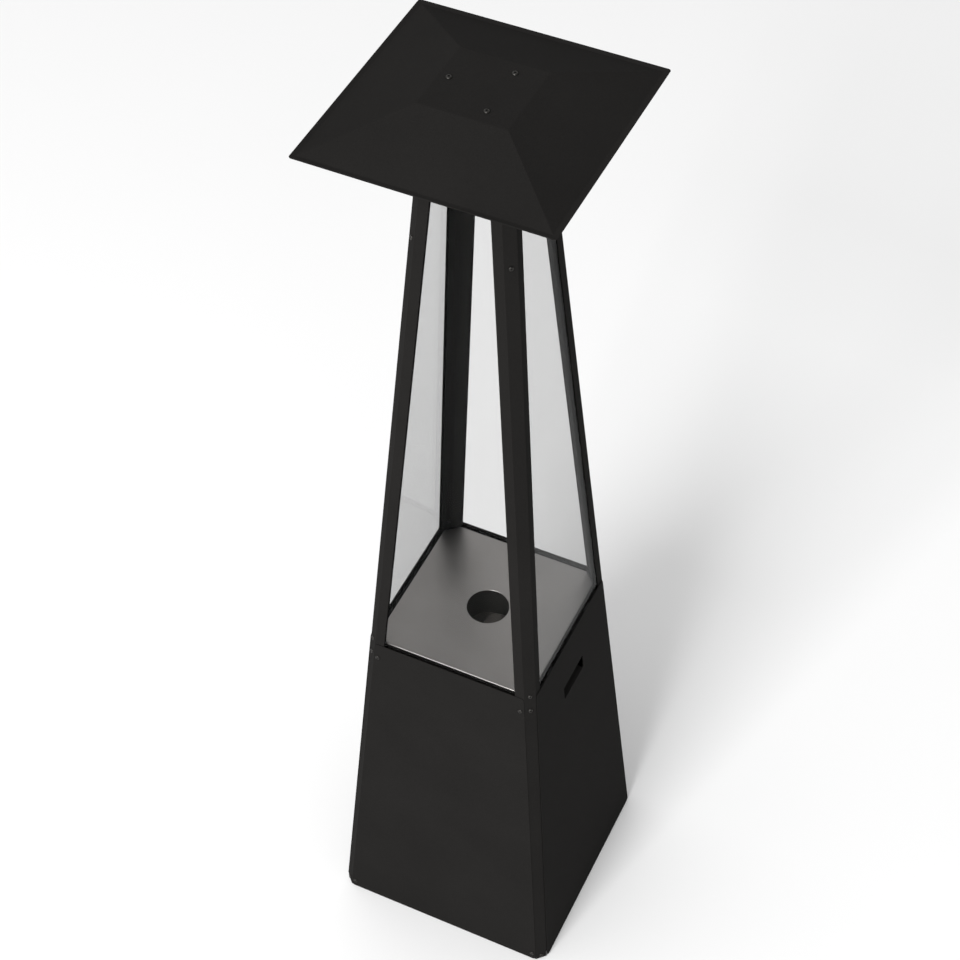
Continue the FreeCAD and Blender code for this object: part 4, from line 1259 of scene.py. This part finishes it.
@dataclass
class Controls(Assembly):
    """Control plate with the gas valve, its ribbed knob and the igniter."""

    ribs: int = 30
    rib_ring: float = 23.0 * MM
    rib_radius: float = 1.0 * MM
    rib_length: float = 6 * MM
    rib_sides: int = 8
    rib_place: float = 3.5 * MM

    def knob(self) -> None:
        """Build the knob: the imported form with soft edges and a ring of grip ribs."""
        low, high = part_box("control_knob")
        start = soften(self.frame["nodes"]["control_knob"], Edge.KNOB)
        rib = bmesh.new()
        bmesh.ops.create_cone(rib, cap_ends=True, segments=self.rib_sides, radius1=self.rib_radius,
                              radius2=self.rib_radius, depth=self.rib_length)
        holder = bpy.data.objects.new("grip_rib", to_mesh(rib, "grip_rib"))
        bpy.context.scene.collection.objects.link(holder)
        place = (low[0] + self.rib_place, (low[1] + high[1]) / 2, (low[2] + high[2]) / 2)
        result = rib_tree().run("knob_grip", start, {
            "Rib": holder, "Count": self.ribs, "Radius": self.rib_ring, "Place": place,
            "Finish": self.finishes.knob})
        bpy.data.objects.remove(holder)
        self.stand_for(new_object("knob_grip", result, self.finishes.knob), "control_knob")

    def build(self) -> None:
        """Dress the controls."""
        f = self.finishes
        self.soft_copy("control_plate", f.coat, Edge.RAIL)
        self.dress(f.brass, "gas_valve", "gas_inlet")
        self.dress(f.burner, "valve_spindle", "igniter_spring")
        self.knob()
        self.soft_copy("igniter_body", f.knob, Edge.IGNITER)
        self.soft_copy("igniter_button", f.button, Edge.BUTTON)
        self.soft_copy("tilt_switch", f.knob, Edge.SWITCH)


# ---------------------------------------------------------------- studio
@dataclass
class Studio:
    """Pale floor, soft lights and the camera."""

    floor_reach: float = 30.0
    floor_greys: tuple[float, float] = (0.90, 0.93)
    world_strength: float = 0.84
    world_dim: float = 0.45
    key_place: tuple[float, float, float] = (-1.0, -10.5, 9.0)
    key_size: float = 5.0
    key_power: float = 1500.0
    aim_height: float = 1.0
    camera_place: tuple[float, float, float] = (1.1927, -2.4813, 4.2805)
    heading: float = 25.017
    look_down: float = 47.932
    lens: float = 81.33
    shift: float = -0.0245

    def floor(self) -> None:
        """A wide pale floor."""
        bm = bmesh.new()
        bmesh.ops.create_grid(bm, x_segments=1, y_segments=1, size=self.floor_reach)
        mesh = to_mesh(bm, "studio_floor")
        s = Shade("studio_floor")
        tone = s.noise(s.place(), 0.7, 2.0)
        low, high = (tinted((grey,) * 3) for grey in self.floor_greys)
        paint = s.finish({"Base Color": s.mix(tone, low, high), "Roughness": 0.9, "Specular IOR Level": 0.1})
        piece = new_object("studio_floor", mesh, paint)

    def key_lamp(self) -> None:
        """One soft square lamp that looks at the middle of the heater."""
        data = bpy.data.lights.new("key", "AREA")
        data.shape = "SQUARE"
        data.size = self.key_size
        data.energy = self.key_power
        lamp = bpy.data.objects.new("key", data)
        bpy.context.scene.collection.objects.link(lamp)
        lamp.location = self.key_place
        way = Vector((0, 0, self.aim_height)) - Vector(self.key_place)
        lamp.rotation_euler = way.to_track_quat("-Z", "Y").to_euler()

    def world(self) -> None:
        """Soft pale light from all around, weaker from the right."""
        world = bpy.data.worlds.new("studio_world")
        bpy.context.scene.world = world
        world.use_nodes = True
        s = Shade.for_tree(world.node_tree)
        way = s.node("ShaderNodeTexCoord", output="Generated")
        across = s.node("ShaderNodeSeparateXYZ", None, {"Vector": way}, "X")
        level = s.ramp(across * 0.5 + 0.5, ((0.45, 1.0), (0.85, self.world_dim)))
        back = s.node("ShaderNodeBackground", None, {"Color": level, "Strength": self.world_strength})
        s.node("ShaderNodeOutputWorld", None, {"Surface": back})

    def camera(self) -> None:
        """The camera, looking down on the heater from its front right."""
        data = bpy.data.cameras.new("camera")
        data.lens = self.lens
        data.shift_x = self.shift
        data.clip_end = 100.0
        camera = bpy.data.objects.new("camera", data)
        bpy.context.scene.collection.objects.link(camera)
        camera.location = self.camera_place
        camera.rotation_euler = (math.radians(90 - self.look_down), 0.0, math.radians(self.heading))
        bpy.context.scene.camera = camera

    def build(self) -> None:
        """Set up the studio."""
        self.floor()
        self.world()
        self.key_lamp()
        self.camera()
        bpy.context.scene.view_settings.view_transform = "Standard"
        log.info("studio is set")


def main() -> None:
    """Build every sub-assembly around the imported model."""
    logging.basicConfig(level=logging.INFO, format="%(name)s: %(message)s")
    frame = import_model()
    finishes = Finishes()
    for part in (BaseSkin, Posts, Deck, FlameChamber, Burner, Controls, Hood, Fasteners):
        part(finishes, frame).build()
        log.info("%s is done", part.__name__)
    Studio().build()


if __name__ == "__main__":
    main()
